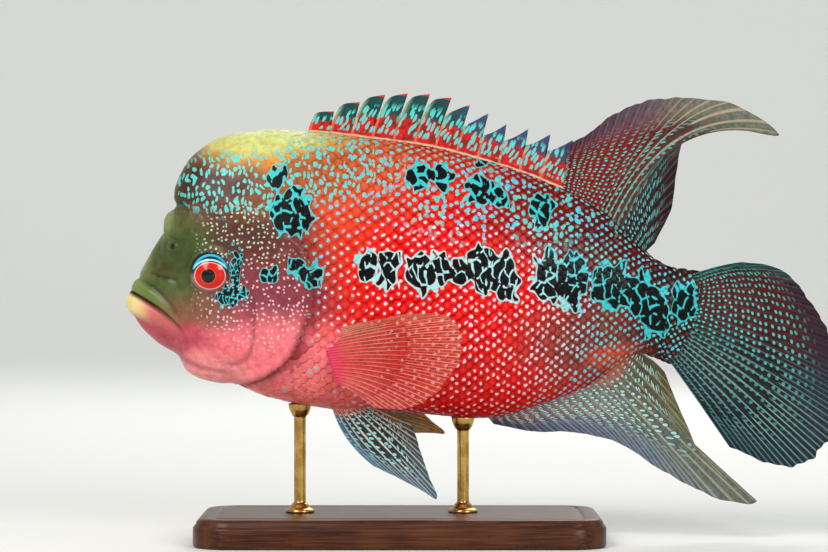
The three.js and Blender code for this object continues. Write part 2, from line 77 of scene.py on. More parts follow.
HALF_WIDTHS = [
    (-113.5, 2.5), (-110, 8.2), (-104, 12.6), (-96, 16.6), (-86, 20.6), (-70, 24.8), (-45, 27.6),
    (-20, 28.0), (10, 26.4), (40, 22.4), (70, 16.4), (95, 11.2), (113, 6.2), (121, 3.0),
    (126, 1.3),
]
WIDEST_SHARES = [(-114, 0.42), (-85, 0.36), (-60, 0.4), (0, 0.44), (60, 0.48), (125, 0.5)]
UPPER_FULLNESS = [(-114, 2.2), (-92, 2.5), (-60, 2.4), (-30, 2.05), (20, 1.85), (125, 1.9)]
LOWER_FULLNESS = [(-114, 2.1), (-80, 2.1), (-40, 2.2), (0, 2.15), (50, 1.95), (125, 1.9)]

# Lines on the head, as (x, z)
MOUTH = [(-121, 110), (-113.6, 105.2), (-106, 101), (-98.5, 96.2), (-91.5, 89.5), (-88.2, 84.0)]
LIP_GROOVE = [(-118, 115), (-109.6, 110.9), (-100, 104.6), (-92.8, 96.6), (-88.6, 88.5)]
CHIN_GROOVE = [(-116, 96), (-109.5, 92.5), (-101.5, 88.5), (-94.5, 84.5), (-89.5, 82.0)]
CHEEK_GROOVE = [(-60.2, 106.5), (-60.2, 98), (-60.2, 88.5), (-61.8, 79.5), (-66, 75.2), (-73, 73.6)]
GILL_EDGE = [
    (-47, 129), (-41, 124.5), (-37.2, 116), (-35.6, 107), (-36, 99), (-39.5, 89.5), (-42, 82.2),
    (-47, 75.6), (-54.5, 70.4), (-62, 67.6), (-70, 66.0),
]
THROAT_FOLD = [(-90.5, 74.5), (-84, 71.5), (-76, 69.8), (-67, 69.0)]
BROW_NOTCH = [(-100, 141.0), (-94.8, 141.0), (-88.5, 142.2), (-80, 142.5)]
BROW_FOLD = [(-99, 130.2), (-93.5, 126.8), (-86, 127.2), (-78, 128.6)]
LORE_FOLD = [(-103.5, 112.4), (-97.0, 110.6), (-91.2, 109.4)]
SNOUT_FOLD = [(-100.5, 122.0), (-99.5, 116.5), (-101.5, 111.5)]
NOSTRIL = (-94.6, 123.6)


def spline(points, s):
    """Catmull-Rom curve through evenly spaced rows of points, at places s."""
    points = np.asarray(points, float)
    ends = np.vstack([2 * points[0] - points[1], points, 2 * points[-1] - points[-2]])
    s = np.asarray(s, float)
    i = np.clip(np.floor(s).astype(int), 0, len(points) - 2)
    t = (s - i)[..., None]
    a, b, c, d = (ends[i + k] for k in range(4))
    bend = 2 * a - 5 * b + 4 * c - d
    return 0.5 * (2 * b + (c - a) * t + bend * t**2 + (3 * b - a - 3 * c + d) * t**3)


def along(table, x):
    """The value at x of a table of (x, value) rows, eased between them."""
    table = np.asarray(table, float)
    x = np.asarray(x, float)
    i = np.clip(np.searchsorted(table[:, 0], x, side="left") - 1, 0, len(table) - 2)
    t = np.clip((x - table[i, 0]) / (table[i + 1, 0] - table[i, 0]), 0, 1)
    return spline(table[:, 1:], i + t)[..., 0]


def swing(x):
    """How far the tail's curve has moved the body's middle to the right at x."""
    return TAIL_SWING * np.maximum(0, (np.asarray(x) - SWING_FROM) / (SWING_TO - SWING_FROM)) ** 2


def body_points(s, angle, grow):
    """Points on the body's left side (-y): s counts ribs, angle is -90 to 90 degrees from belly to back."""
    top = spline(BACK, s)
    bottom = spline(BELLY, s)
    middle = (top[..., 0] + bottom[..., 0]) / 2
    widest = along(WIDEST_SHARES, middle)
    upper = angle >= 0
    power = 2 / np.where(upper, along(UPPER_FULLNESS, middle), along(LOWER_FULLNESS, middle))
    rise = np.abs(np.sin(angle)) ** power
    share = np.where(upper, widest + (1 - widest) * rise, widest * (1 - rise))
    out = (along(HALF_WIDTHS, middle) + grow) * np.maximum(np.cos(angle), 0) ** power
    height = np.linalg.norm(top - bottom, axis=-1)
    share = share + (2 * share - 1) * grow / height
    place = bottom + (top - bottom) * share[..., None]
    return np.stack([place[..., 0], swing(place[..., 0]) - out, place[..., 1]], axis=-1)


def left_normals(points):
    """Unit normals of a grid of points on the left flank, by the steps to its neighbours."""
    normals = np.cross(np.gradient(points, axis=0), np.gradient(points, axis=1))
    normals = normals / np.maximum(np.linalg.norm(normals, axis=-1, keepdims=True), 1e-9)
    rows, columns = points.shape[:2]
    return -normals if normals[rows // 2, columns // 2, 1] > 0 else normals


def curve_distance(points, x, z):
    """Distance of (x, z) to a curve, which side of it they lie on, and how far along it, 0 to 1."""
    line = spline(points, np.linspace(0, len(points) - 1, 12 * len(points)))
    best = np.full(x.shape, 1e9)
    side = np.zeros(x.shape)
    share = np.zeros(x.shape)
    for i in range(len(line) - 1):
        step = line[i + 1] - line[i]
        t = np.clip(((x - line[i, 0]) * step[0] + (z - line[i, 1]) * step[1]) / (step @ step), 0, 1)
        dx = x - line[i, 0] - step[0] * t
        dz = z - line[i, 1] - step[1] * t
        gap = np.hypot(dx, dz)
        nearer = gap < best
        best = np.where(nearer, gap, best)
        side = np.where(nearer, np.sign(step[0] * dz - step[1] * dx), side)
        share = np.where(nearer, (i + t) / (len(line) - 1), share)
    return best, side, share


def bell(distance, width):
    return np.exp(-((distance / width) ** 2))


def fade_ends(share, length=0.12):
    """1 along a curve, easing to 0 at its last end."""
    return np.clip((1 - share) / length, 0, 1)


# Meshes
def solid_box(node):
    """Lowest and highest corner of a solid of the frame, in millimetres."""
    return tuple(np.array(corner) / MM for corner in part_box(node))


def loop_points(mesh):
    """The number of the point at each face corner."""
    corners = np.empty(len(mesh.loops), int)
    mesh.loops.foreach_get("vertex_index", corners)
    return corners


def mesh_object(name, points, faces, material, uvs=None, values=None, smooth=True):
    """A mesh of points in millimetres. uvs holds {map: (n, 2)}, values {attribute: (n,)}, a row a point."""
    mesh = bpy.data.meshes.new(name)
    mesh.from_pydata((np.asarray(points) * MM).tolist(), [], faces)
    corners = loop_points(mesh)
    for key, coordinates in (uvs or {}).items():
        layer = mesh.uv_layers.new(name=key)
        layer.data.foreach_set("uv", np.asarray(coordinates, float)[corners].ravel())
    for key, numbers in (values or {}).items():
        attribute = mesh.attributes.new(key, "FLOAT", "POINT")
        attribute.data.foreach_set("value", np.asarray(numbers, float).ravel())
    mesh.polygons.foreach_set("use_smooth", [smooth] * len(mesh.polygons))
    mesh.update()
    mesh.materials.append(material)
    made = bpy.data.objects.new(name, mesh)
    bpy.context.collection.objects.link(made)
    return made


def grid_faces(rows, columns, start=0, flip=False, ring=False):
    """Quads over a grid of points stored row by row. ring joins each row's last point to its first."""
    steps = columns if ring else columns - 1
    i, j = np.meshgrid(np.arange(rows - 1), np.arange(steps), indexing="ij")
    after = (j + 1) % columns
    corners = [i * columns + j, i * columns + after, (i + 1) * columns + after, (i + 1) * columns + j]
    quads = np.stack(corners, -1).reshape(-1, 4) + start
    return (quads[:, ::-1] if flip else quads).tolist()


def capped_rings(rings, steps):
    """Faces of a stack of rings and of its two ends, whose middle points follow the rings' points."""
    faces = grid_faces(rings, steps, ring=True)
    first_end = rings * steps
    last_ring = first_end - steps
    for j in range(steps):
        after = (j + 1) % steps
        faces.append([first_end, after, j])
        faces.append([first_end + 1, last_ring + j, last_ring + after])
    return faces


def grid_rim(rows, columns):
    """Numbers of the points round the rim of a grid, in order."""
    rim = list(range(columns))
    rim += [i * columns + columns - 1 for i in range(1, rows)]
    rim += [(rows - 1) * columns + j for j in range(columns - 2, -1, -1)]
    rim += [i * columns for i in range(rows - 2, 0, -1)]
    return rim


def outward(points, faces):
    """The faces, turned round if they enclose the points the wrong way."""
    points = np.asarray(points, float)
    volume = 0.0
    for count in {len(face) for face in faces}:
        corners = points[np.array([face for face in faces if len(face) == count])]
        for k in range(1, count - 1):
            volume += np.einsum("ij,ij->", corners[:, 0], np.cross(corners[:, k], corners[:, k + 1]))
    return faces if volume > 0 else [face[::-1] for face in faces]


def lathe(name, profile, centre, material, steps=64):
    """A closed turned solid: profile is (radius, height) from the axis below to the axis on top."""
    profile = np.asarray(profile, float)
    turn = np.linspace(0, 2 * math.pi, steps, endpoint=False)
    inner = profile[1:-1]
    rings = np.stack([
        inner[:, :1] * np.cos(turn) + centre[0],
        inner[:, :1] * np.sin(turn) + centre[1],
        np.repeat(inner[:, 1:], steps, axis=1) + centre[2],
    ], -1).reshape(-1, 3)
    poles = [(centre[0], centre[1], centre[2] + height) for height in (profile[0, 1], profile[-1, 1])]
    points = np.vstack([rings, poles])
    return mesh_object(name, points, outward(points, capped_rings(len(inner), steps)), material)


def rounded(profile, radius, steps=5):
    """A profile with its corners turned into short arcs; the first and last point stay."""
    profile = [np.array(p, float) for p in profile]
    made = [profile[0]]
    for before, corner, after in zip(profile, profile[1:], profile[2:]):
        into = before - corner
        away = after - corner
        reach = min(radius, np.linalg.norm(into) / 2, np.linalg.norm(away) / 2)
        start = corner + into / np.linalg.norm(into) * reach
        end = corner + away / np.linalg.norm(away) * reach
        for t in np.linspace(0, 1, steps):
            made.append(start * (1 - t) ** 2 + 2 * corner * t * (1 - t) + end * t**2)
    made.append(profile[-1])
    return np.array(made)


# Shader trees
def linear(colour):
    """A hex colour as the linear numbers that shaders take."""
    parts = [int(colour[i:i + 2], 16) / 255 for i in (1, 3, 5)]
    return tuple(p / 12.92 if p <= 0.04045 else ((p + 0.055) / 1.055) ** 2.4 for p in parts) + (1.0,)


class Nodes:
    """Adds and joins nodes in one tree."""

    def __init__(self, tree):
        self.tree = tree

    def add(self, kind, **settings):
        node = self.tree.nodes.new(kind)
        for key, value in settings.items():
            setattr(node, key, value)
        return node

    def put(self, socket, value):
        if value is None:
            return
        if isinstance(value, bpy.types.NodeSocket):
            self.tree.links.new(value, socket)
        elif isinstance(value, str):
            socket.default_value = linear(value)
        else:
            socket.default_value = value

    def math(self, operation, a, b=None, clamp=False):
        node = self.add("ShaderNodeMath", operation=operation, use_clamp=clamp)
        self.put(node.inputs[0], a)
        self.put(node.inputs[1], b)
        return node.outputs[0]

    def plus(self, a, b, clamp=False):
        return self.math("ADD", a, b, clamp)

    def minus(self, a, b):
        return self.math("SUBTRACT", a, b)

    def times(self, a, b, clamp=False):
        return self.math("MULTIPLY", a, b, clamp)

    def vector(self, operation, a, b=None):
        node = self.add("ShaderNodeVectorMath", operation=operation)
        self.put(node.inputs[0], a)
        self.put(node.inputs["Scale" if operation == "SCALE" else 1], b)
        return node.outputs["Value" if operation in ("LENGTH", "DISTANCE", "DOT_PRODUCT") else "Vector"]

    def mix(self, factor, a, b, blend="MIX"):
        node = self.add("ShaderNodeMix", data_type="RGBA", blend_type=blend)
        self.put(node.inputs[0], factor)
        self.put(node.inputs[6], a)
        self.put(node.inputs[7], b)
        return node.outputs[2]

    def tinted(self, colour, tint):
        return self.mix(1.0, colour, tint, "MULTIPLY")

    def remap(self, value, low, high, to_low=0.0, to_high=1.0):
        node = self.add("ShaderNodeMapRange", interpolation_type="SMOOTHSTEP")
        for socket, number in zip(node.inputs, (value, low, high, to_low, to_high)):
            self.put(socket, number)
        return node.outputs[0]

    def noise(self, vector, scale, detail=2.0, roughness=0.5):
        node = self.add("ShaderNodeTexNoise")
        self.put(node.inputs["Vector"], vector)
        self.put(node.inputs["Scale"], scale)
        self.put(node.inputs["Detail"], detail)
        self.put(node.inputs["Roughness"], roughness)
        return node.outputs

    def voronoi(self, vector, scale, feature="F1", randomness=1.0, dimensions="3D"):
        node = self.add("ShaderNodeTexVoronoi", feature=feature, voronoi_dimensions=dimensions)
        self.put(node.inputs["Vector"], vector)
        self.put(node.inputs["Scale"], scale)
        self.put(node.inputs["Randomness"], randomness)
        return node.outputs

    def ramp(self, value, stops):
        node = self.add("ShaderNodeValToRGB")
        self.put(node.inputs[0], value)
        elements = node.color_ramp.elements
        while len(elements) < len(stops):
            elements.new(1.0)
        for element, (place, colour) in zip(elements, stops):
            element.position = place
            element.color = linear(colour) if isinstance(colour, str) else (colour, colour, colour, 1.0)
        return node.outputs[0]

    def group(self, tree, **values):
        node = self.add("ShaderNodeGroup", node_tree=tree)
        for key, value in values.items():
            self.put(node.inputs[key.replace("_", " ")], value)
        return node.outputs

    def attribute(self, name):
        return self.add("ShaderNodeAttribute", attribute_name=name).outputs["Fac"]

    def red_part(self, colour):
        node = self.add("ShaderNodeSeparateColor")
        self.put(node.inputs[0], colour)
        return node.outputs[0]

    def map(self, name):
        return self.add("ShaderNodeUVMap", uv_map=name).outputs[0]

    def parts(self, vector):
        node = self.add("ShaderNodeSeparateXYZ")
        self.put(node.inputs[0], vector)
        return tuple(node.outputs)

    def joined(self, x, y):
        node = self.add("ShaderNodeCombineXYZ")
        self.put(node.inputs[0], x)
        self.put(node.inputs[1], y)
        return node.outputs[0]


def new_group(name, inputs, outputs):
    """An empty shader group. inputs and outputs are (name, kind, default) rows."""
    tree = bpy.data.node_groups.new(name, "ShaderNodeTree")
    for way, rows in (("INPUT", inputs), ("OUTPUT", outputs)):
        for label, kind, default in rows:
            socket = tree.interface.new_socket(label, in_out=way, socket_type=f"NodeSocket{kind}")
            if default is not None:
                socket.default_value = default
    nodes = Nodes(tree)
    return nodes, nodes.add("NodeGroupInput").outputs, nodes.add("NodeGroupOutput").inputs


def new_material(name, roughness=0.35, coat=0.0, coat_roughness=0.1, ior=1.35, specular=0.4):
    """A material with its own Principled shader, whose fixed values are set on its sockets."""
    material = bpy.data.materials.new(name)
    material.use_nodes = True
    nodes = Nodes(material.node_tree)
    shader = material.node_tree.nodes["Principled BSDF"]
    shader.inputs["Roughness"].default_value = roughness
    shader.inputs["Coat Weight"].default_value = coat
    shader.inputs["Coat Roughness"].default_value = coat_roughness
    shader.inputs["IOR"].default_value = ior
    shader.inputs["Specular IOR Level"].default_value = specular
    return material, nodes, shader


def bump(nodes, shader, height, distance, strength=1.0):
    node = nodes.add("ShaderNodeBump")
    nodes.put(node.inputs["Height"], height)
    node.inputs["Distance"].default_value = distance * MM
    node.inputs["Strength"].default_value = strength
    nodes.put(shader.inputs["Normal"], node.outputs[0])


def once(make):
    """Builds a shader group the first time that it is asked for."""
    kept = {}

    def get():
        if "tree" not in kept:
            kept["tree"] = make()
        return kept["tree"]

    return get


def place_in_mm(n):
    """Object coordinates in millimetres."""
    return n.vector("SCALE", n.add("ShaderNodeTexCoord").outputs["Object"], 1 / MM)


def oval(n, place, x, z, reach_x, reach_z):
    """Distance from (x, z) seen from the side: 1 on the oval with these reaches."""
    off = n.vector("SUBTRACT", place, (x, 0, z))
    return n.vector("LENGTH", n.vector("MULTIPLY", off, (1 / reach_x, 0, 1 / reach_z)))


def zone(n, place, x, z, reach_x, reach_z, soft=0.3, strength=1.0):
    """A soft oval mask seen from the side."""
    return n.remap(oval(n, place, x, z, reach_x, reach_z), 1 - soft, 1 + soft, strength, 0.0)


# Broad colours of the body, laid on in this order: centre (x, z), reach (x, z), softness, colour, strength
GROUND = "#cc120d"
ZONES = {
    "upper_back": (20, 167, 80, 19, 0.5, "#a83c1c", 0.85),
    "shoulder": (-26, 140, 40, 34, 0.6, "#d9592f", 0.95),
    "chest": (-36, 68, 46, 22, 0.5, "#fb8480", 0.97),
    "middle": (26, 110, 58, 42, 0.5, "#e80406", 1.0),
    "belly": (40, 66, 60, 18, 0.5, "#e0100e", 0.95),
    "rear_back": (76, 138, 40, 24, 0.5, "#6a0f0b", 0.9),
    "rear_flank": (98, 112, 34, 36, 0.5, "#480d0b", 0.92),
    "rear_belly": (86, 82, 32, 17, 0.6, "#7c3c34", 0.95),
    "anal_base": (94, 77, 14, 7, 0.5, "#d0583c", 0.8),
    "stalk": (118, 95, 18, 30, 0.5, "#241012", 0.95),
    "nape": (-32, 160, 26, 16, 0.6, "#b9562c", 0.9),
    "head": (-62, 116, 31, 32, 0.35, "#75322f", 0.95),
    "temple": (-67, 131, 24, 17, 0.6, "#502e2a", 0.92),
    "cheek": (-60, 100, 28, 14, 0.6, "#843a48", 0.92),
    "lower_cheek": (-62, 79, 38, 15, 0.5, "#f2767e", 0.98),
    "hump_side": (-64, 152, 32, 14, 0.6, "#965428", 0.95),
    "hump_orange": (-62, 161, 20, 8, 0.6, "#e0902c", 0.92),
    "hump_crown": (-62, 170, 40, 8, 0.6, "#c8cc72", 0.97),
    "hump_edge": (-58, 178, 46, 7, 0.5, "#cfdcb0", 0.9),
    "hump_front": (-93, 149, 12, 19, 0.6, "#46502e", 0.95),
    "hump_maroon": (-76, 149, 18, 11, 0.6, "#43180f", 0.95),
    "snout": (-101, 116, 23, 24, 0.35, "#4c5c2c", 1.0),
    "eye_shade": (-92, 120, 9, 10, 0.8, "#35421f", 0.7),
    "brow": (-99, 134, 5, 7, 0.8, "#8f9a5e", 0.75),
    "snout_edge": (-114, 124, 7, 22, 0.6, "#93a468", 0.8),
    "muzzle_shade": (-99, 113, 5, 4, 0.8, "#4a3a1c", 0.6),
    "under_eye": (-83, 97, 13, 7, 0.6, "#7a5a40", 0.7),
    "jaw": (-96, 84, 17, 9, 0.5, "#b84858", 0.95),
    "throat": (-82, 70, 20, 7, 0.6, "#f79c9a", 0.85),
}
LOBES_PER_MM = 0.27
# Black marks edged with turquoise: centre (x, z) and reach (x, z)
BLOTCHES = [
    (-13.0, 114.5, 4.6, 5.6), (-4.6, 113.5, 5.4, 6.6), (9.0, 112.5, 6.4, 7.6), (17.0, 114.0, 4.4, 5.8),
    (25.0, 113.5, 5.0, 4.8), (34.0, 114.5, 6.0, 8.8), (43.0, 110.5, 6.2, 9.4), (62.0, 110.5, 6.4, 9.6),
    (71.5, 108.5, 6.4, 10.4), (88.5, 107.5, 8.0, 9.0), (100.5, 103.0, 6.4, 8.6), (107.0, 97.0, 5.4, 9.6),
    (119.5, 99.5, 4.8, 7.4), (8.5, 153.0, 5.2, 5.0), (16.5, 151.5, 4.6, 4.8), (33.5, 147.5, 5.6, 5.4),
    (41.0, 145.0, 4.2, 4.4), (59.2, 139.5, 4.0, 5.8), (34.9, 160.0, 3.6, 2.6), (-50.4, 151.4, 3.2, 4.6),
    (-44.1, 137.7, 7.6, 8.6), (-42.0, 115.5, 3.8, 3.0), (-36.5, 111.5, 4.2, 4.6), (-53.8, 111.7, 3.6, 2.8),
    (-67.4, 113.8, 2.4, 7.0), (-69.6, 103.4, 5.2, 4.2),
]


@once
def markings_group():
    """Broad colours and black marks of the whole body, by place in millimetres."""
    n, given, out = new_group(
        "fish_markings",
        [("Place", "Vector", None), ("Edge Width", "Float", 0.7), ("Wander", "Float", 5.5)],
        [("Colour", "Color", None), ("Black", "Float", None), ("Edging", "Float", None),
         ("Warm", "Float", None)],
    )
    place = given["Place"]
    place_x, _, place_z = n.parts(place)
    drift = n.vector("SUBTRACT", n.noise(place, 0.045, 2.0)["Color"], (0.5, 0.5, 0.5))
    loose = n.vector("ADD", place, n.vector("MULTIPLY", drift, (14, 0, 14)))
    colour = GROUND
    for x, z, reach_x, reach_z, soft, shade, strength in ZONES.values():
        colour = n.mix(zone(n, loose, x, z, reach_x, reach_z, soft, strength), colour, shade)
    mottle = n.remap(n.noise(place, 0.35, 3.0, 0.6)["Fac"], 0.35, 0.7, 0.0, 0.4)
    n.put(out["Colour"], n.mix(mottle, colour, n.tinted(colour, "#b08880")))

    # Marks: the nearest of the blotches in millimetres, with wandering, lobed edges
    jog = n.vector("SUBTRACT", n.noise(place, 0.14, 1.0, 0.4)["Color"], (0.5, 0.5, 0.5))
    rough = n.vector("ADD", place, n.vector("MULTIPLY", n.vector("SCALE", jog, given["Wander"]), (1, 0, 1)))
    nearest = None
    for x, z, reach_x, reach_z in BLOTCHES:
        gap = n.times(n.minus(oval(n, rough, x, z, reach_x, reach_z), 1.0), min(reach_x, reach_z))
        nearest = gap if nearest is None else n.math("MINIMUM", nearest, gap)
    # Flattened cells, finer on the cheek: their outlines are the lobes of the marks and the veins in them
    rough_x, _, rough_z = n.parts(rough)
    fine = n.remap(place_x, -60.5, -60, 1.8, 1.0)
    upright = n.vector("SCALE", n.joined(rough_x, n.times(rough_z, 0.62)), fine)
    lobes = n.voronoi(upright, LOBES_PER_MM, "SMOOTH_F1", 1.0, "2D")["Distance"]
    nearest = n.plus(nearest, n.times(n.minus(lobes, 0.4), 5.0))
    inside = n.remap(nearest, -0.25, 0.0, 1.0, 0.0)
    width = n.times(given["Edge Width"], n.remap(place_x, -62, -30, 0.45, 1.0))
    rim = n.times(n.remap(nearest, -0.1, 0.1), n.remap(nearest, width, n.plus(width, 0.3), 1.0, 0.0))
    cells = n.voronoi(upright, LOBES_PER_MM, "DISTANCE_TO_EDGE", 1.0, "2D")["Distance"]
    line = n.remap(place_z, 134, 142, 0.085, 0.14)
    veins = n.remap(n.minus(cells, line), -0.02, 0.02, 1.0, 0.0)
    kept = n.remap(n.noise(place, 0.3, 1.0)["Fac"], 0.42, 0.46)
    inner = n.times(n.times(veins, kept), inside)
    n.put(out["Edging"], n.math("MAXIMUM", rim, inner, clamp=True))
    n.put(out["Black"], n.times(inside, n.minus(1.0, inner), clamp=True))
    n.put(out["Warm"], n.remap(oval(n, loose, 20, 92, 52, 42), 0.7, 1.3, 1.0, 0.0))
    return n.tree


@once
def speckle_group():
    """Small pearls and short worm-like dashes scattered over a surface, by place in millimetres."""
    n, given, out = new_group(
        "fish_speckles",
        [("Place", "Vector", None), ("Spacing", "Float", 0.3), ("Size", "Float", 0.3),
         ("Share", "Float", 0.6), ("Stretch", "Vector", (1, 1, 1)), ("Twist", "Float", 5.0),
         ("Scatter", "Float", 0.8)],
        [("Speckle", "Float", None)],
    )
    warp = n.vector("SCALE", n.noise(given["Place"], 0.16, 1.0)["Color"], given["Twist"])
    shifted = n.vector("ADD", given["Place"], warp)
    x, _, z = n.parts(n.vector("MULTIPLY", shifted, given["Stretch"]))
    cells = n.voronoi(n.joined(x, z), given["Spacing"], "F1", given["Scatter"], "2D")
    lucky = n.math("LESS_THAN", n.red_part(cells["Color"]), given["Share"])
    near = n.minus(given["Size"], cells["Distance"])
    n.put(out["Speckle"], n.times(n.remap(near, 0.0, 0.09), lucky, clamp=True))
    return n.tree


def speckles(n, place, spacing, size, share, twist, stretch=(1.0, 1.0, 1.0), scatter=0.8):
    return n.group(speckle_group(), Place=place, Spacing=spacing, Size=size, Share=share, Twist=twist,
                   Stretch=stretch, Scatter=scatter)["Speckle"]


def looks():
    """The chosen colours of the marks as plain tuples."""
    chosen = bpy.context.scene.flowerhorn_colours
    names = ("edging", "black", "pearl", "turquoise")
    return {name: tuple(getattr(chosen, name)) + (1.0,) for name in names}


def dashes(n, place):
    """Mask of the turquoise worm-like dashes over the hump and nape."""
    marks = speckles(n, place, 0.4, 0.36, 0.86, 5.5, (1.2, 1.0, 0.68), 0.7)
    hump = zone(n, place, -66, 150, 30, 14, 0.25)
    nape = zone(n, place, -28, 156, 30, 14, 0.3)
    return n.times(marks, n.math("MAXIMUM", hump, nape), clamp=True)


def skin_material():
    """Wet skin of the head and of the body under the scales: lips, cheek pearls, marks, and painted shade darkening
    the creases.
    """
    material, n, shader = new_material("fish_skin", 0.36, coat=0.1, coat_roughness=0.2, specular=0.3)
    tones = looks()
    place = place_in_mm(n)
    marks = n.group(markings_group(), Place=place)
    colour = n.mix(n.times(n.attribute("lip_upper"), 0.6), marks["Colour"], "#6d7f42")
    lower_lip = n.mix(n.remap(n.parts(place)[0], -111, -102), "#e2cb8c", "#cf6a6c")
    colour = n.mix(n.attribute("lip_lower"), colour, lower_lip)
    colour = n.mix(dashes(n, place), colour, tones["turquoise"])

    fine = speckles(n, place, 0.47, 0.26, 0.78, 3.0)
    cheek = zone(n, place, -57, 102, 25, 21, 0.3)
    temple = zone(n, place, -64, 127, 19, 14, 0.25)
    pearls = n.times(fine, n.math("MAXIMUM", cheek, temple))
    greenish = n.mix(n.noise(place, 0.2)["Fac"], "#5cb0a0", "#d8d0a4")
    colour = n.mix(pearls, colour, n.mix(zone(n, place, -64, 127, 20, 14, 0.5), "#dcb2b6", greenish))

    by_the_eye = n.times(fine, zone(n, place, -70, 104, 8, 8, 0.2))
    black = n.mix(by_the_eye, tones["black"], tones["turquoise"])
    colour = n.mix(marks["Black"], n.mix(marks["Edging"], colour, tones["edging"]), black)
    # Painted shade: the creases darkened towards deep crimson by the shade mask
    colour = n.mix(n.attribute("shade"), colour, n.tinted(colour, "#5e1428"))
    n.put(shader.inputs["Base Color"], colour)

    grain = n.noise(place, 1.6, 3.0, 0.6)["Fac"]
    pores = n.voronoi(place, 0.55)["Distance"]
    raised = n.plus(n.plus(n.times(grain, 0.4), n.times(pearls, 0.6)), n.times(pores, -0.25))
    n.put(shader.inputs["Roughness"], n.remap(grain, 0.3, 0.7, 0.26, 0.42))
    bump(n, shader, raised, 0.25, 0.6)
    return material


def scale_edge_shade(n, place, uv):
    """How far out a point is from the scale's middle, and how dark its free edge is, partly its own rim colour and
    partly painted shade, less near the head.
    """
    off = n.vector("SUBTRACT", uv, (0.66, 0.5, 0))
    middle = n.vector("LENGTH", n.vector("MULTIPLY", off, (2.5, 1.8, 0)))
    ahead = n.remap(n.parts(place)[0], -48, 5, 0.1, 1.0)
    return middle, n.times(n.remap(middle, 0.5, 0.95), n.times(ahead, 0.5))


def scale_pearl(n, place, uv, warm):
    """Mask of the one pearl on each scale, from a dot to a short upright bar, and none on a few."""
    chance = n.attribute("chance")
    other = n.attribute("chance_two")
    spot = n.add("ShaderNodeVectorRotate", rotation_type="Z_AXIS")
    centre = n.joined(n.remap(other, 0.0, 1.0, 0.64, 0.78), n.remap(chance, 0.0, 1.0, 0.38, 0.62))
    n.put(spot.inputs["Vector"], n.vector("SUBTRACT", uv, centre))
    n.put(spot.inputs["Angle"], n.times(n.minus(other, 0.5), 1.1))
    tall = n.minus(n.remap(other, 0.0, 1.0, 5.6, 3.9), zone(n, place, 52, 84, 34, 22, 0.4))
    stretch = n.joined(n.remap(chance, 0.2, 1.0, 7.6, 5.6), tall)
    size = n.vector("LENGTH", n.vector("MULTIPLY", spot.outputs[0], stretch))
    size = n.times(size, n.remap(warm, 0.0, 1.0, 0.8, 1.0))
    size = n.times(size, n.remap(n.parts(place)[0], -45, 25, 1.3, 1.0))
    wobble = n.times(n.minus(n.noise(place, 0.9, 1.0)["Fac"], 0.5), 1.3)
    pearl = n.remap(n.plus(size, wobble), 0.62, 0.82, 1.0, 0.0)
    scarce = n.math("MAXIMUM", n.times(zone(n, place, -42, 72, 42, 18, 0.4), 0.85),
                    n.times(zone(n, place, -30, 158, 32, 14, 0.3), 0.9))
    return n.times(pearl, n.math("GREATER_THAN", chance, n.math("MAXIMUM", scarce, 0.1)))


def scale_material():
    """Overlapping scales: the body's colours and marks, a free edge darkened partly by painted shade, a pearl each and
    loose specks.
    """
    material, n, shader = new_material("fish_scales", 0.35, coat=0.08, coat_roughness=0.15, specular=0.17)
    tones = looks()
    place = place_in_mm(n)
    marks = n.group(markings_group(), Place=place)
    uv = n.map("plate")
    middle, edge = scale_edge_shade(n, place, uv)
    # Each scale darker at its free edge and faintly lighter in its middle: partly its own rim colour, partly painted
    # shade and highlight
    colour = n.mix(edge, marks["Colour"], n.tinted(marks["Colour"], "#7a2a26"))
    colour = n.mix(n.remap(middle, 0.0, 0.7, 0.1, 0.0), colour, "#f08a70")

    pearl = scale_pearl(n, place, uv, marks["Warm"])
    cool = n.mix(n.remap(n.noise(place, 0.12)["Fac"], 0.4, 0.6), tones["turquoise"], "#48bcd4")
    faint = n.math("FRACT", n.times(n.attribute("chance"), 7.0))
    shown = n.times(pearl, n.remap(faint, 0.0, 0.5, 0.5, 1.0))
    colour = n.mix(shown, colour, n.mix(marks["Warm"], cool, tones["pearl"]))
    loose = speckles(n, place, 0.3, 0.33, 0.55, 5.0, (1.0, 1.0, 0.85))
    colour = n.mix(n.times(loose, zone(n, place, 52, 141, 52, 16, 0.35)), colour, cool)
    colour = n.mix(dashes(n, place), colour, tones["turquoise"])

    line = n.mix(n.times(marks["Warm"], 0.45), tones["edging"], "#d8ecec")
    colour = n.mix(marks["Black"], n.mix(marks["Edging"], colour, line), tones["black"])
    # Painted shade on the scales just behind the gill cover, darkened towards crimson
    crease = n.times(n.attribute("crease"), 0.75)
    colour = n.mix(crease, colour, n.tinted(colour, "#8c1c34"))
    n.put(shader.inputs["Base Color"], colour)

    streaks = n.add("ShaderNodeTexWave", wave_type="RINGS", rings_direction="Z")
    n.put(streaks.inputs["Vector"], n.vector("MULTIPLY", n.vector("SUBTRACT", uv, (0.3, 0.5, 0)), (1, 1, 0)))
    streaks.inputs["Scale"].default_value = 5.0
    worn = n.remap(n.noise(place, 0.8)["Fac"], 0.3, 0.7, 0.26, 0.42)
    n.put(shader.inputs["Roughness"], n.plus(worn, n.times(marks["Black"], 0.15)))
    bump(n, shader, n.plus(n.times(streaks.outputs["Fac"], 0.3), n.times(pearl, 0.8)), 0.12, 0.5)
    return material


# Body skin
SKIN_RINGS_HEAD = 168
SKIN_RINGS_FLANK = 96
SKIN_STEPS = 152  # from belly to back on one side


def gill_shade_strength(z):
    """How strong the painted shade behind the gill cover's edge is: faint at the eye's height, deep at the throat."""
    return 0.2 + 0.8 * np.clip((108 - z) / 24, 0, 1)


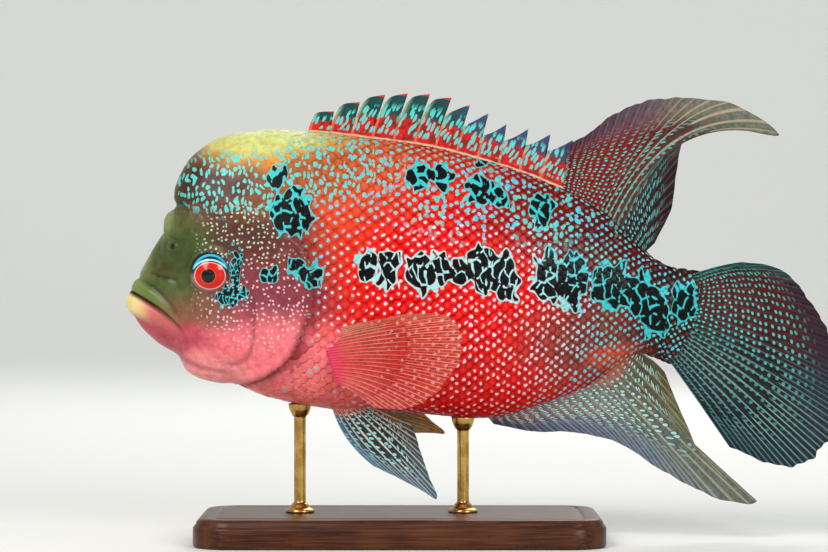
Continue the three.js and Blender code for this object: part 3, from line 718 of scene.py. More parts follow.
def head_relief(x, z, eye):
    """How far the skin is raised at (x, z), and masks for the lips and the painted shade of the creases. eye is its
    (x, z, radius).
    """
    mouth, mouth_side, mouth_at = curve_distance(MOUTH, x, z)
    groove, groove_side, groove_at = curve_distance(LIP_GROOVE, x, z)
    chin, chin_side, chin_at = curve_distance(CHIN_GROOVE, x, z)
    cheek, _, cheek_at = curve_distance(CHEEK_GROOVE, x, z)
    gill, gill_side, gill_at = curve_distance(GILL_EDGE, x, z)
    throat, _, throat_at = curve_distance(THROAT_FOLD, x, z)
    notch, _, notch_at = curve_distance(BROW_NOTCH, x, z)
    brow, brow_side, brow_at = curve_distance(BROW_FOLD, x, z)
    lore, _, lore_at = curve_distance(LORE_FOLD, x, z)
    snout, _, _ = curve_distance(SNOUT_FOLD, x, z)
    nostril = np.hypot(x - NOSTRIL[0], z - NOSTRIL[1])
    lid = np.hypot(x - eye[0], z - eye[1]) - eye[2]

    upper = (mouth_side > 0) & (groove_side < 0)
    lower = (mouth_side < 0) & (chin_side > 0)
    upper_lip = np.where(upper, 1 - bell(mouth, 1.3) * 0.4, 0) * (1 - bell(groove, 1.6))
    lower_lip = np.where(lower, 1 - bell(mouth, 1.3) * 0.3, 0) * (1 - bell(chin, 2.6))
    upper_lip *= fade_ends(mouth_at, 0.6)
    lower_lip *= fade_ends(mouth_at, 0.75)
    raised = 0.8 * upper_lip + 1.7 * lower_lip
    raised -= 2.0 * bell(mouth, 0.8) * fade_ends(mouth_at, 0.5)
    raised -= 0.6 * bell(groove, 1.3) * fade_ends(groove_at, 0.5)
    raised -= 0.3 * bell(chin, 2.2) * fade_ends(chin_at, 0.6)
    cheek_middle = np.clip(4 * cheek_at * (1 - cheek_at), 0, 1)
    raised -= 0.8 * bell(cheek, 1.2) * cheek_middle**0.5
    covered = gill_side < 0
    ends = np.clip(gill_at / 0.12, 0, 1) * np.clip((1 - gill_at) / 0.12, 0, 1)
    raised += np.where(covered, 2.8 * np.exp(-gill / 7.0), -0.9 * bell(gill, 1.6)) * ends
    raised -= np.where(covered, 0.5 * bell(gill - 4.6, 1.5), 0) * ends
    raised += 1.3 * bell(throat, 2.4) * fade_ends(throat_at, 0.3)
    raised -= 1.3 * bell(notch, 1.6) * fade_ends(notch_at, 0.5)
    brow_step = np.where(brow_side > 0, 0.25 * bell(brow - 3.2, 2.4), -0.4 * bell(brow, 1.4))
    raised += brow_step * fade_ends(brow_at, 0.7)
    raised -= 0.7 * bell(lore, 1.1) * fade_ends(lore_at, 0.3)
    raised -= 0.6 * bell(snout, 1.4)
    raised -= 1.2 * bell(nostril, 0.9)
    raised += 0.45 * bell(nostril - 1.7, 0.7)
    raised += 1.1 * bell(lid - 0.6, 1.0) - 0.7 * bell(lid - 3.4, 1.3)
    raised -= 4.0 * np.clip((-0.6 - lid) / 1.2, 0, 1)
    raised -= 0.5 * bell(lid - 7.0, 2.0) * (z < eye[1])
    waves = np.sin(x * 0.31 + z * 0.17) * np.sin(z * 0.27 - x * 0.11)
    raised += 0.16 * waves * (x < -45)
    # Painted shade darkening the mouth line, grooves, folds, brow notch, gill crease and nostril
    shade = (
        bell(mouth, 0.8) * fade_ends(mouth_at, 0.55)
        + 0.35 * bell(groove, 1.0) * fade_ends(groove_at, 0.4)
        + 0.55 * bell(cheek, 0.9) * cheek_middle
        + np.where(covered, 0.7, 1.0) * bell(gill, 1.9) * gill_shade_strength(z) * ends
        + 0.5 * bell(throat - 2.6, 1.0) * fade_ends(throat_at, 0.3)
        + 0.5 * bell(lore, 0.8) * fade_ends(lore_at, 0.3)
        + 0.55 * bell(notch, 1.3) * fade_ends(notch_at, 0.5)
        + bell(nostril, 0.8)
    )
    masks = {
        "lip_upper": np.clip(1.3 * upper_lip, 0, 1),
        "lip_lower": np.clip(1.4 * lower_lip, 0, 1),
        "shade": np.clip(shade, 0, 1),
    }
    return raised, masks


def eye_place(name):
    """Centre and half sizes of an eye, from the frame."""
    low, high = solid_box(f"eye_{name}")
    return (low + high) / 2, (high - low) / 2


def visible_eye():
    """Place (x, z) and radius of the part of the flattened eyeball that stands out of the skin."""
    centre, reach = eye_place("left")
    sunk = (half_width_at(centre[0], centre[2]) - abs(centre[1])) / reach[1]
    return centre[0], centre[2], reach[0] * math.sqrt(max(1 - sunk**2, 0.05))


def half_width_at(x, z):
    """Half the body's width at (x, z), from the nearest of many points on its flank."""
    rows = np.linspace(0, LAST_RIB, 400)
    s, angle = np.meshgrid(rows, np.radians(np.linspace(-85, 85, 120)), indexing="ij")
    points = body_points(s, angle, -COAT)
    nearest = np.argmin(np.hypot(points[..., 0] - x, points[..., 2] - z))
    y = points.reshape(-1, 3)[nearest, 1]
    return float(abs(y - swing(x)))


def skin_rings():
    """Places of the skin's rings along the ribs, denser over the head."""
    head = np.linspace(0, FIRST_FLANK_RIB + 2, SKIN_RINGS_HEAD, endpoint=False)
    return np.concatenate([head, np.linspace(FIRST_FLANK_RIB + 2, LAST_RIB, SKIN_RINGS_FLANK)])


def build_skin(material):
    """One closed skin: the left side with its relief, mirrored to the right about the curved middle."""
    rings = skin_rings()
    angles = np.linspace(-math.pi / 2, math.pi / 2, SKIN_STEPS + 1)
    s, angle = np.meshgrid(rings, angles, indexing="ij")
    left = body_points(s, angle, -COAT)
    raised, masks = head_relief(left[..., 0], left[..., 2], visible_eye())
    normals = left_normals(left)
    normals[:, 0, 1] = 0
    normals[:, -1, 1] = 0
    nose = np.clip(s / 0.6, 0, 1)
    left = left + normals * (raised * nose)[..., None]
    right = left[:, ::-1].copy()
    right[..., 1] = 2 * swing(right[..., 0]) - right[..., 1]
    around = np.concatenate([left, right[:, 1:-1]], axis=1)
    columns = around.shape[1]
    values = {}
    for key, mask in masks.items():
        whole = np.concatenate([mask, mask[:, ::-1][:, 1:-1]], axis=1)
        values[key] = np.append(whole.ravel(), [0.0, 0.0])
    u = np.repeat(s[:, :1] / LAST_RIB, columns, axis=1)
    v = np.repeat(np.arange(columns)[None, :] / columns, len(rings), axis=0)
    bake = np.vstack([np.stack([u.ravel(), v.ravel()], 1) * 0.96 + 0.02, [(0.01, 0.5), (0.99, 0.5)]])
    ends = [around[0].mean(axis=0), around[-1].mean(axis=0)]
    points = np.vstack([around.reshape(-1, 3), ends])
    faces = outward(points, capped_rings(len(rings), columns))
    return mesh_object("body_skin", points, faces, material, {"OFBake": bake}, values)


# Scales
SCALE_TAPER = 0.38  # how much smaller the scales are at the tail
SCALES_SPLIT = 22.0  # x where the front piece of a flank's scales ends
SCALE_CELLS = 6  # steps along and across one scale
BAKE_MARGIN = 4.0  # free edge of the scales' bake map, in millimetres of flank

ScaleRoot = namedtuple("ScaleRoot", "place ahead normal taper chance u v crease")


def scale_plate(length, width, thickness):
    """One scale: a thin domed plate with a round free edge towards +x, its root at the origin."""
    points = []
    uv = []
    for i in range(SCALE_CELLS + 1):
        share = i / SCALE_CELLS
        round_end = math.sqrt(max(0.0, 1 - max(0.0, (share - 0.42) / 0.58) ** 2.2))
        half = max(width / 2 * min(1.0, 0.62 + 0.9 * share) * round_end, 0.02)
        for j in range(SCALE_CELLS + 1):
            across = 2 * j / SCALE_CELLS - 1
            crown = 0.15 * (1 - across**2) * math.sin(math.pi * min(1.0, 0.25 + share * 0.75))
            points.append((length * (share - 0.5), half * across, crown + thickness))
            uv.append((share, j / SCALE_CELLS))
    faces = grid_faces(SCALE_CELLS + 1, SCALE_CELLS + 1)
    rim = grid_rim(SCALE_CELLS + 1, SCALE_CELLS + 1)
    start = len(points)
    middle = start + len(rim)
    for k, top in enumerate(rim):
        x, y, z = points[top]
        points.append((x, y * 0.97, z - thickness))
        uv.append(uv[top])
        after = (k + 1) % len(rim)
        faces.append([rim[after], top, start + k, start + after])
    points.append((0, 0, 0.0))
    uv.append((0.5, 0.5))
    faces += [[start + (k + 1) % len(rim), start + k, middle] for k in range(len(rim))]
    return np.array(points), faces, np.array(uv)


def scale_roots(sizes, side):
    """The roots of one side's scales, as on the left side, row by row from the gill cover to the tail."""
    angles = np.radians(np.linspace(-88, 88, 177))
    middle = len(angles) // 2
    columns = np.linspace(FIRST_FLANK_RIB, LAST_RIB - 0.1, 800)
    s, angle = np.meshgrid(columns, angles, indexing="ij")
    surface = body_points(s, angle, -COAT)
    normals = left_normals(surface)
    steps = np.linalg.norm(np.diff(surface, axis=1), axis=-1)
    girth = np.concatenate([np.zeros((len(columns), 1)), np.cumsum(steps, axis=1)], axis=1)
    girth -= girth[:, middle:middle + 1]
    lateral_steps = np.linalg.norm(np.diff(surface[:, middle], axis=0), axis=-1)
    lateral = np.concatenate([[0], np.cumsum(lateral_steps)])
    picked = []
    at = 0.0
    column = 0
    while at < lateral[-1]:
        taper = 1.0 - SCALE_TAPER * at / lateral[-1]
        k = int(np.searchsorted(lateral, at))
        pitch = sizes.scale_pitch / MM * taper
        shift = 0.5 * (column % 2)
        first = math.ceil(girth[k, 0] / pitch - shift)
        last = math.floor(girth[k, -1] / pitch - shift)
        for row in range(first, last + 1):
            arc = (row + shift) * pitch
            a = int(np.clip(np.searchsorted(girth[k], arc), 1, len(angles) - 2))
            picked.append((k, a, taper, lateral[k], arc))
        at += sizes.scale_column / MM * taper
        column += 1

    # No scales on the gill cover, the head in front of it and the throat
    k, a = (np.array([row[i] for row in picked]) for i in (0, 1))
    places = surface[k, a]
    x, z = places[:, 0], places[:, 2]
    behind, on_side, _ = curve_distance(GILL_EDGE, x, z)
    in_front = (on_side < 0) & (((z < 129) & (x < -36)) | (x < -50))
    covered = in_front | ((x < -47) & (z > 66))
    ahead = surface[np.minimum(k + 8, len(columns) - 1), a] - surface[np.maximum(k - 8, 0), a]
    # Painted shade on the scales just behind the gill cover's edge
    crease = bell(behind, 3.0) * gill_shade_strength(z)
    draws = np.random.default_rng(sizes.seed + (side > 0))
    return [
        ScaleRoot(places[i], ahead[i], normals[k[i], a[i]], picked[i][2], draws.random(4), *picked[i][3:],
                  crease[i])
        for i in np.flatnonzero(~covered)
    ]


def mirrored(root):
    """The same root on the right side of the curved body."""
    x, y, z = root.place
    ahead_x, ahead_y, ahead_z = root.ahead
    drift = float(swing(x + ahead_x) - swing(x))
    return root._replace(
        place=np.array([x, 2 * swing(x) - y, z]),
        ahead=np.array([ahead_x, 2 * drift - ahead_y, ahead_z]),
        normal=root.normal * (1, -1, 1),
    )


def euler_turn(ahead, normal, tilt):
    """The turn that points x along the fish and z out of the skin, with the free edge lifted a little."""
    out = Vector(normal).normalized()
    forward = Vector(ahead)
    forward = (forward - out * forward.dot(out)).normalized()
    forward = (forward * math.cos(tilt) + out * math.sin(tilt)).normalized()
    sideways = out.cross(forward).normalized()
    out = forward.cross(sideways)
    return Matrix((forward, sideways, out)).transposed().to_euler()


def instance_tree():
    """Geometry nodes: a scale on every root, turned and sized by the root's own values."""
    tree = bpy.data.node_groups.new("scale_rows", "GeometryNodeTree")
    inputs = [("Roots", "Geometry"), ("Scale Plate", "Object"), ("Size", "Float"),
              ("Size Variation", "Float"), ("Seed", "Int"), ("Finish", "Material")]
    for label, kind in inputs:
        tree.interface.new_socket(label, in_out="INPUT", socket_type=f"NodeSocket{kind}")
    tree.interface.new_socket("Scales", in_out="OUTPUT", socket_type="NodeSocketGeometry")
    n = Nodes(tree)
    given = n.add("NodeGroupInput").outputs
    plate = n.add("GeometryNodeObjectInfo")
    n.put(plate.inputs["Object"], given["Scale Plate"])
    turn = n.add("GeometryNodeInputNamedAttribute", data_type="FLOAT_VECTOR")
    turn.inputs["Name"].default_value = "turn"
    grown = n.add("GeometryNodeInputNamedAttribute", data_type="FLOAT")
    grown.inputs["Name"].default_value = "grown"
    vary = n.add("FunctionNodeRandomValue", data_type="FLOAT")
    n.put(vary.inputs[2], n.minus(1.0, given["Size Variation"]))
    n.put(vary.inputs[3], n.plus(1.0, given["Size Variation"]))
    n.put(vary.inputs["Seed"], given["Seed"])
    size = n.times(n.times(grown.outputs[0], vary.outputs[1]), given["Size"])
    spread = n.add("GeometryNodeInstanceOnPoints")
    n.put(spread.inputs["Points"], given["Roots"])
    n.put(spread.inputs["Instance"], plate.outputs["Geometry"])
    n.put(spread.inputs["Rotation"], turn.outputs[0])
    n.put(spread.inputs["Scale"], size)
    real = n.add("GeometryNodeRealizeInstances")
    n.put(real.inputs[0], spread.outputs[0])
    finish = n.add("GeometryNodeSetMaterial")
    n.put(finish.inputs["Geometry"], real.outputs[0])
    n.put(finish.inputs["Material"], given["Finish"])
    n.put(n.add("NodeGroupOutput").inputs[0], finish.outputs[0])
    return tree


def root_points(name, roots, sizes):
    """A mesh of bare points, one under each scale, with the values that the scales need."""
    turns = []
    places = []
    for root in roots:
        tilt = math.radians(sizes.scale_tilt_degrees) * (0.9 + 0.3 * root.chance[0])
        turns.append(euler_turn(root.ahead, root.normal, tilt))
        sunk = 0.2 + 0.22 * np.clip((-28 - root.place[0]) / 18, 0, 1)
        places.append(root.place + root.normal * (0.1 * root.chance[1] - sunk))
    mesh = bpy.data.meshes.new(f"{name}_roots")
    mesh.from_pydata((np.array(places) * MM).tolist(), [], [])
    mesh.attributes.new("turn", "FLOAT_VECTOR", "POINT").data.foreach_set("vector", np.array(turns).ravel())
    values = {
        "grown": [root.taper for root in roots],
        "chance": [root.chance[2] for root in roots],
        "chance_two": [root.chance[3] for root in roots],
        "root_u": [root.u for root in roots],
        "root_v": [root.v for root in roots],
        "crease": [root.crease for root in roots],
    }
    for key, numbers in values.items():
        mesh.attributes.new(key, "FLOAT", "POINT").data.foreach_set("value", np.array(numbers))
    return mesh


def add_bake_map(mesh, sizes):
    """Gives each scale a patch of its own at its root's place on the unrolled flank."""
    corners = loop_points(mesh)
    local = np.empty(len(mesh.loops) * 2)
    mesh.uv_layers["plate"].data.foreach_get("uv", local)
    local = local.reshape(-1, 2) - 0.5
    root = []
    for key in ("root_u", "root_v", "grown"):
        numbers = np.empty(len(mesh.vertices))
        mesh.attributes[key].data.foreach_get("value", numbers)
        root.append(numbers[corners])
    u, v, grown = root
    length = u.max() - u.min() + 2 * BAKE_MARGIN
    across = max(length, 2 * np.abs(v).max() + 2 * BAKE_MARGIN)
    column = sizes.scale_column / MM * grown
    pitch = sizes.scale_pitch / MM * grown
    patch = np.stack([
        (u - u.min() + BAKE_MARGIN + local[:, 0] * column * 0.9) / length,
        v / across + 0.5 + local[:, 1] * pitch * 0.74 / across,
    ], 1)
    mesh.uv_layers.new(name="OFBake").data.foreach_set("uv", patch.ravel())


def build_scales(sizes, material, side, end):
    """The front or rear piece of one flank's scales."""
    name = f"scales_{'left' if side < 0 else 'right'}_{end}"
    roots = [root for root in scale_roots(sizes, side) if (root.place[0] < SCALES_SPLIT) == (end == "front")]
    if side > 0:
        roots = [mirrored(root) for root in roots]
    made = bpy.data.objects.new(name, root_points(name, roots, sizes))
    bpy.context.collection.objects.link(made)
    measures = (sizes.scale_length, sizes.scale_width, sizes.scale_thickness)
    points, faces, uv = scale_plate(*(measure / MM for measure in measures))
    plate = mesh_object(f"{name}_plate", points, outward(points, faces), material, {"plate": uv})

    tree = instance_tree()
    modifier = made.modifiers.new("scale_rows", "NODES")
    modifier.node_group = tree
    sockets = {item.name: item.identifier for item in tree.interface.items_tree if item.in_out == "INPUT"}
    chosen = {"Scale Plate": plate, "Size": 1.0, "Size Variation": 0.05, "Seed": sizes.seed,
              "Finish": material}
    for label, value in chosen.items():
        modifier[sockets[label]] = value
    view = bpy.context.evaluated_depsgraph_get()
    view.update()
    grown = made.evaluated_get(view)
    mesh = bpy.data.meshes.new_from_object(grown, preserve_all_data_layers=True, depsgraph=view)
    made.modifiers.clear()
    made.data = mesh
    mesh.name = name
    bpy.data.objects.remove(plate)

    add_bake_map(mesh, sizes)
    for key in ("root_u", "root_v", "turn", "grown"):
        if key in mesh.attributes:
            mesh.attributes.remove(mesh.attributes[key])
    mesh.polygons.foreach_set("use_smooth", [True] * len(mesh.polygons))
    mesh.update()
    return made


# Eyes: places and reaches on the eye's face, in millimetres from its centre
IRIS = (-0.2, -1.5)
IRIS_REACH = (6.5, 5.6)
PUPIL = (-0.8, -1.6)
PUPIL_RADIUS = 3.0


def eye_material():
    """Red iris, black pupil, and blue arcs over them on a dark ball."""
    material, n, shader = new_material("fish_eye", 0.3, coat=0.6, coat_roughness=0.02, specular=0.2)
    up = n.attribute("eye_up")
    spot = n.joined(n.attribute("eye_across"), up)
    disc = n.vector("LENGTH", spot)
    off_iris = n.vector("SUBTRACT", spot, (*IRIS, 0))
    iris = n.vector("LENGTH", n.vector("MULTIPLY", off_iris, (1 / IRIS_REACH[0], 1 / IRIS_REACH[1], 0)))
    pupil = n.vector("LENGTH", n.vector("SUBTRACT", spot, (*PUPIL, 0)))
    fibres = n.noise(n.vector("MULTIPLY", spot, (1.4, 1.4, 0)), 1.0, 4.0, 0.7)["Fac"]
    above = n.remap(up, 0.5, 3.0)
    arc = n.times(n.remap(disc, 6.35, 6.7), n.remap(disc, 7.25, 7.6, 1.0, 0.0))
    inner_arc = n.times(n.remap(iris, 1.08, 1.13), n.remap(iris, 1.2, 1.26, 1.0, 0.0))
    colour = n.mix(n.remap(up, -3.0, 1.0), "#8a6a60", "#06161c")
    colour = n.mix(n.times(arc, above), colour, "#1fb4d6")
    colour = n.mix(n.times(inner_arc, above), colour, "#9fd9e2")
    colour = n.mix(n.remap(iris, 0.99, 1.03, 1.0, 0.0), colour, "#e0a8a4")
    colour = n.mix(n.remap(iris, 0.92, 0.97, 1.0, 0.0), colour, n.mix(fibres, "#a00200", "#f01005"))
    colour = n.mix(n.remap(pupil, PUPIL_RADIUS + 0.05, PUPIL_RADIUS + 0.3, 1.0, 0.0), colour, "#c7501a")
    colour = n.mix(n.remap(pupil, PUPIL_RADIUS - 0.2, PUPIL_RADIUS, 1.0, 0.0), colour, "#020202")
    n.put(shader.inputs["Base Color"], colour)
    bump(n, shader, n.times(fibres, n.remap(pupil, 2.6, 3.4)), 0.08, 0.5)
    return material


def build_eye(name, material, side, bulge):
    """A flattened ball whose outer face stands out a little more over the pupil."""
    centre, reach = eye_place(name)
    rings = 72
    steps = 96
    tilt = np.linspace(0.02, math.pi - 0.02, rings)
    turn = np.linspace(0, 2 * math.pi, steps, endpoint=False)
    t, a = np.meshgrid(tilt, turn, indexing="ij")
    across = reach[0] * np.sin(t) * np.cos(a)
    up = reach[2] * np.sin(t) * np.sin(a)
    out = reach[1] * np.cos(t)
    over_pupil = bell(np.hypot(across - PUPIL[0], up - PUPIL[1]), 2.6)
    out = out + np.where(t < 1.2, bulge / MM * over_pupil, 0)
    ball = np.stack([centre[0] + across, centre[1] + side * out, centre[2] + up], -1)
    poles = [centre + (0, way * side * reach[1], 0) for way in (1, -1)]
    points = np.vstack([ball.reshape(-1, 3), poles])
    values = {"eye_across": points[:, 0] - centre[0], "eye_up": points[:, 2] - centre[2]}
    faces = outward(points, capped_rings(rings, steps))
    return mesh_object(f"eyeball_{name}", points, faces, material, None, values)


# Fins
SOFT_DORSAL = [
    (0.0, (68.5, 147.0), (70.0, 160.0), (71.5, 167.0)),
    (0.1, (72.0, 145.5), (76.5, 161.0), (80.5, 172.0)),
    (0.22, (76.0, 143.5), (84.0, 162.0), (90.0, 179.5)),
    (0.36, (81.0, 141.0), (94.0, 163.0), (104.0, 185.0)),
    (0.48, (85.0, 138.5), (102.0, 169.0), (120.0, 186.8)),
    (0.56, (88.0, 136.0), (109.0, 178.0), (142.0, 183.5)),
    (0.62, (90.5, 133.5), (113.0, 183.0), (161.5, 171.0)),
    (0.67, (92.5, 131.5), (112.0, 174.0), (134.0, 174.8)),
    (0.73, (94.5, 129.5), (107.0, 158.0), (121.0, 171.0)),
    (0.81, (97.0, 127.0), (105.5, 146.0), (117.0, 158.0)),
    (0.9, (99.5, 124.0), (106.0, 134.0), (114.5, 140.5)),
    (1.0, (102.5, 120.5), (104.5, 122.5), (107.0, 125.0)),
]
TAIL_FIN = [
    (0.0, (122.0, 111.5), (133.0, 115.8), (144.0, 117.2)),
    (0.06, (123.2, 109.5), (140.0, 116.4), (157.5, 115.4)),
    (0.14, (124.5, 107.0), (146.0, 114.0), (168.0, 108.5)),
    (0.3, (123.0, 101.5), (150.0, 103.0), (180.5, 91.0)),
    (0.45, (121.0, 96.0), (151.0, 90.0), (186.0, 72.0)),
    (0.6, (119.0, 90.5), (149.0, 78.0), (186.0, 54.0)),
    (0.75, (117.0, 85.5), (143.0, 68.0), (177.0, 36.5)),
    (0.88, (115.0, 80.5), (135.0, 61.0), (160.0, 31.0)),
    (1.0, (112.5, 77.0), (124.0, 61.0), (139.0, 39.5)),
]
ANAL_FIN = [
    (0.0, (36.0, 54.0), (37.0, 51.5), (39.5, 49.0)),
    (0.15, (46.0, 56.0), (50.0, 51.0), (56.0, 46.0)),
    (0.3, (56.0, 60.0), (64.0, 53.0), (74.0, 45.5)),
    (0.45, (66.0, 64.0), (79.0, 54.0), (92.0, 41.0)),
    (0.6, (75.0, 68.5), (94.0, 55.0), (112.0, 28.5)),
    (0.72, (81.5, 72.0), (103.0, 52.0), (131.0, 18.8)),
    (0.8, (86.0, 74.5), (108.0, 54.0), (151.0, 15.8)),
    (0.86, (89.5, 76.5), (107.0, 60.0), (130.0, 31.5)),
    (0.93, (93.5, 79.0), (106.5, 68.0), (119.6, 51.6)),
    (1.0, (97.5, 81.0), (105.5, 78.0), (111.5, 71.0)),
]
PECTORAL = [
    (0.0, (-31.5, 89.0), (-12.0, 92.6), (4.0, 96.2)),
    (0.22, (-31.0, 84.5), (-8.0, 91.0), (20.5, 94.5)),
    (0.45, (-30.0, 79.5), (-7.0, 84.0), (25.6, 82.5)),
    (0.68, (-28.5, 74.5), (-9.0, 76.5), (19.5, 69.0)),
    (0.86, (-26.5, 70.0), (-12.0, 69.0), (6.0, 58.0)),
    (1.0, (-24.5, 66.5), (-17.5, 63.5), (-10.0, 57.5)),
]
PELVIC = [
    (0.0, (-28.5, 57.5), (-25.0, 43.0), (-11.0, 32.6)),
    (0.3, (-25.0, 57.5), (-16.0, 42.0), (6.0, 24.2)),
    (0.5, (-22.0, 57.8), (-8.0, 45.0), (15.4, 19.4)),
    (0.68, (-19.5, 58.0), (-4.0, 47.5), (10.8, 32.0)),
    (1.0, (-15.5, 58.5), (-6.0, 53.5), (5.0, 49.5)),
]
RIGHT_PELVIC_FOLD = math.radians(28)
RIGHT_PELVIC_SIZE = 0.8
PELVIC_HINGE = np.array([-22.0, 58.0])
# Distances across the body, in millimetres: how deep the pectoral's root is sunk in the flank, how far its
# margin and its cup stand out, how far the pelvic's root is from the middle, and its margin from the root
PECTORAL_SUNK = 1.5
PECTORAL_OUT = 12.5
PECTORAL_CUP = 2.5
PELVIC_ROOT = 6.5
PELVIC_OUT = 9.0
PECTORAL_RAYS = 22
PELVIC_RAYS = 9


def fan_places(table, u, t):
    """Where ray u of a fan of rays is at share t of its length, as x and z."""
    starts = np.array([row[0] for row in table])
    i = np.clip(np.searchsorted(starts, u, side="left") - 1, 0, len(table) - 2)
    s = i + (u - starts[i]) / (starts[i + 1] - starts[i])
    base, bend, margin = (spline([row[k] for row in table], s) for k in (1, 2, 3))
    t = t[..., None]
    return base * (1 - t) ** 2 + 2 * bend * t * (1 - t) + margin * t**2


def fan_fin(name, table, rays, depth, material, ragged, steps=(10, 90), root=1.5, edge=0.3):
    """A closed thin fin over a fan of rays, each ray a rib that splits in two towards the margin.

    steps are its points per ray across and along, root and edge its half thickness in millimetres.
    """
    columns = np.linspace(0, 1, rays * steps[0] + 1)
    u, t = np.meshgrid(columns, np.linspace(0, 1, steps[1]) ** 0.92, indexing="ij")
    phase = np.pi * rays * u
    ray = np.abs(np.cos(phase)) ** 5
    split = np.abs(np.cos(2 * phase)) ** 5
    forked = np.clip((t - 0.45) / 0.25, 0, 1)
    rib = ray * (1 - forked) + split * forked
    wear = np.sin(u * rays * 2.3 + 1.7) * np.sin(u * rays * 0.9) + 0.35 * np.cos(2 * phase)
    place = fan_places(table, u, t * (1 + ragged * wear * t**3))
    y = depth(place[..., 0], place[..., 1], u, t) + 0.3 * np.sin(2 * phase) * np.clip(t * 1.6, 0, 1)
    joints = 1 + 0.12 * np.sin(t * 150) * (t > 0.35)
    half = edge + (root - edge) * (1 - t) ** 2.2 + 0.24 * rib * (1 - 0.62 * t) * joints
    sheets = [np.stack([place[..., 0], y + way * half, place[..., 1]], -1) for way in (-1, 1)]
    return closed_sheet(name, sheets, np.stack([u * rays, t], -1), np.stack([u, t], -1), material)


def closed_sheet(name, sheets, rays, share, material):
    """Joins two grids, a front and a back, round their rims into one closed piece.

    rays is the material's map of ray number and length. share runs from 0 to 1 both ways for the bake map,
    where the front sheet lies in the left half and the back sheet in the right half.
    """
    rows, columns = sheets[0].shape[:2]
    total = rows * columns
    points = np.vstack([sheet.reshape(-1, 3) for sheet in sheets])
    faces = grid_faces(rows, columns) + grid_faces(rows, columns, total, flip=True)
    rim = grid_rim(rows, columns)
    for a, b in zip(rim, rim[1:] + rim[:1]):
        faces.append([b, a, a + total, b + total])
    rays = rays.reshape(-1, 2)
    front = share.reshape(-1, 2) * (0.46, 0.96) + 0.02
    maps = {"rays": np.vstack([rays, rays]), "OFBake": np.vstack([front, front + (0.5, 0)])}
    return mesh_object(name, points, outward(points, faces), material, maps)


# Each depth is how far a fin stands from the middle plane at (x, z), on ray u at share t of its length.
def tail_depth(x, z, u, t):
    return swing(x) + 4.5 * t * t * np.sin(2.4 * math.pi * (u - 0.12))


def soft_dorsal_depth(x, z, u, t):
    return swing(x) + 3.2 * t * t * np.sin(math.pi * (1.6 * u - 0.3))


def anal_depth(x, z, u, t):
    return swing(x) - 2.6 * t * t * np.sin(math.pi * (1.4 * u - 0.25))


def pectoral_depth(side):
    root = half_width_at(-29, 80) + COAT - PECTORAL_SUNK

    def depth(x, z, u, t):
        return side * (root + PECTORAL_OUT * t**1.1 + PECTORAL_CUP * np.sin(math.pi * u) * t)

    return depth


def pelvic_depth(side):
    def depth(x, z, u, t):
        return side * (PELVIC_ROOT + PELVIC_OUT * t)

    return depth


def folded_pelvic():
    """The rays of the right pelvic fin: smaller, and turned back about its root."""
    c = math.cos(RIGHT_PELVIC_FOLD)
    s = math.sin(RIGHT_PELVIC_FOLD)
    turn = RIGHT_PELVIC_SIZE * np.array([(c, -s), (s, c)])

    def turned(point):
        return tuple(turn @ (np.array(point) - PELVIC_HINGE) + PELVIC_HINGE)

    return [(u, base, turned(bend), turned(margin)) for u, base, bend, margin in PELVIC]


@once
def fin_pattern_group():
    """Rays, and rows of spots on the webs between them, from the fin's own map of ray number and length."""
    n, given, out = new_group(
        "fin_pattern",
        [("Map", "Vector", None), ("Spot Rows", "Float", 14.0), ("Spot Size", "Float", 0.34),
         ("Scatter", "Float", 0.35)],
        [("Ray", "Float", None), ("Spot", "Float", None), ("Ring", "Float", None),
         ("Segment", "Float", None)],
    )
    count, length, _ = n.parts(given["Map"])
    whole = n.math("ABSOLUTE", n.math("COSINE", n.times(count, math.pi)))
    double = n.math("ABSOLUTE", n.math("COSINE", n.times(count, 2 * math.pi)))
    mixed = n.add("ShaderNodeMix", data_type="FLOAT")
    n.put(mixed.inputs[0], n.remap(length, 0.45, 0.7))
    n.put(mixed.inputs[2], whole)
    n.put(mixed.inputs[3], double)
    n.put(out["Ray"], n.remap(mixed.outputs[0], 0.84, 0.98))
    shifted = n.joined(count, n.times(length, given["Spot Rows"]))
    cells = n.voronoi(shifted, 1.0, "F1", given["Scatter"], "2D")
    away = n.minus(given["Spot Size"], cells["Distance"])
    n.put(out["Spot"], n.remap(away, 0.0, 0.08))
    n.put(out["Ring"], n.remap(away, -0.14, -0.04))
    n.put(out["Segment"], n.math("SINE", n.times(length, 220.0)))
    return n.tree


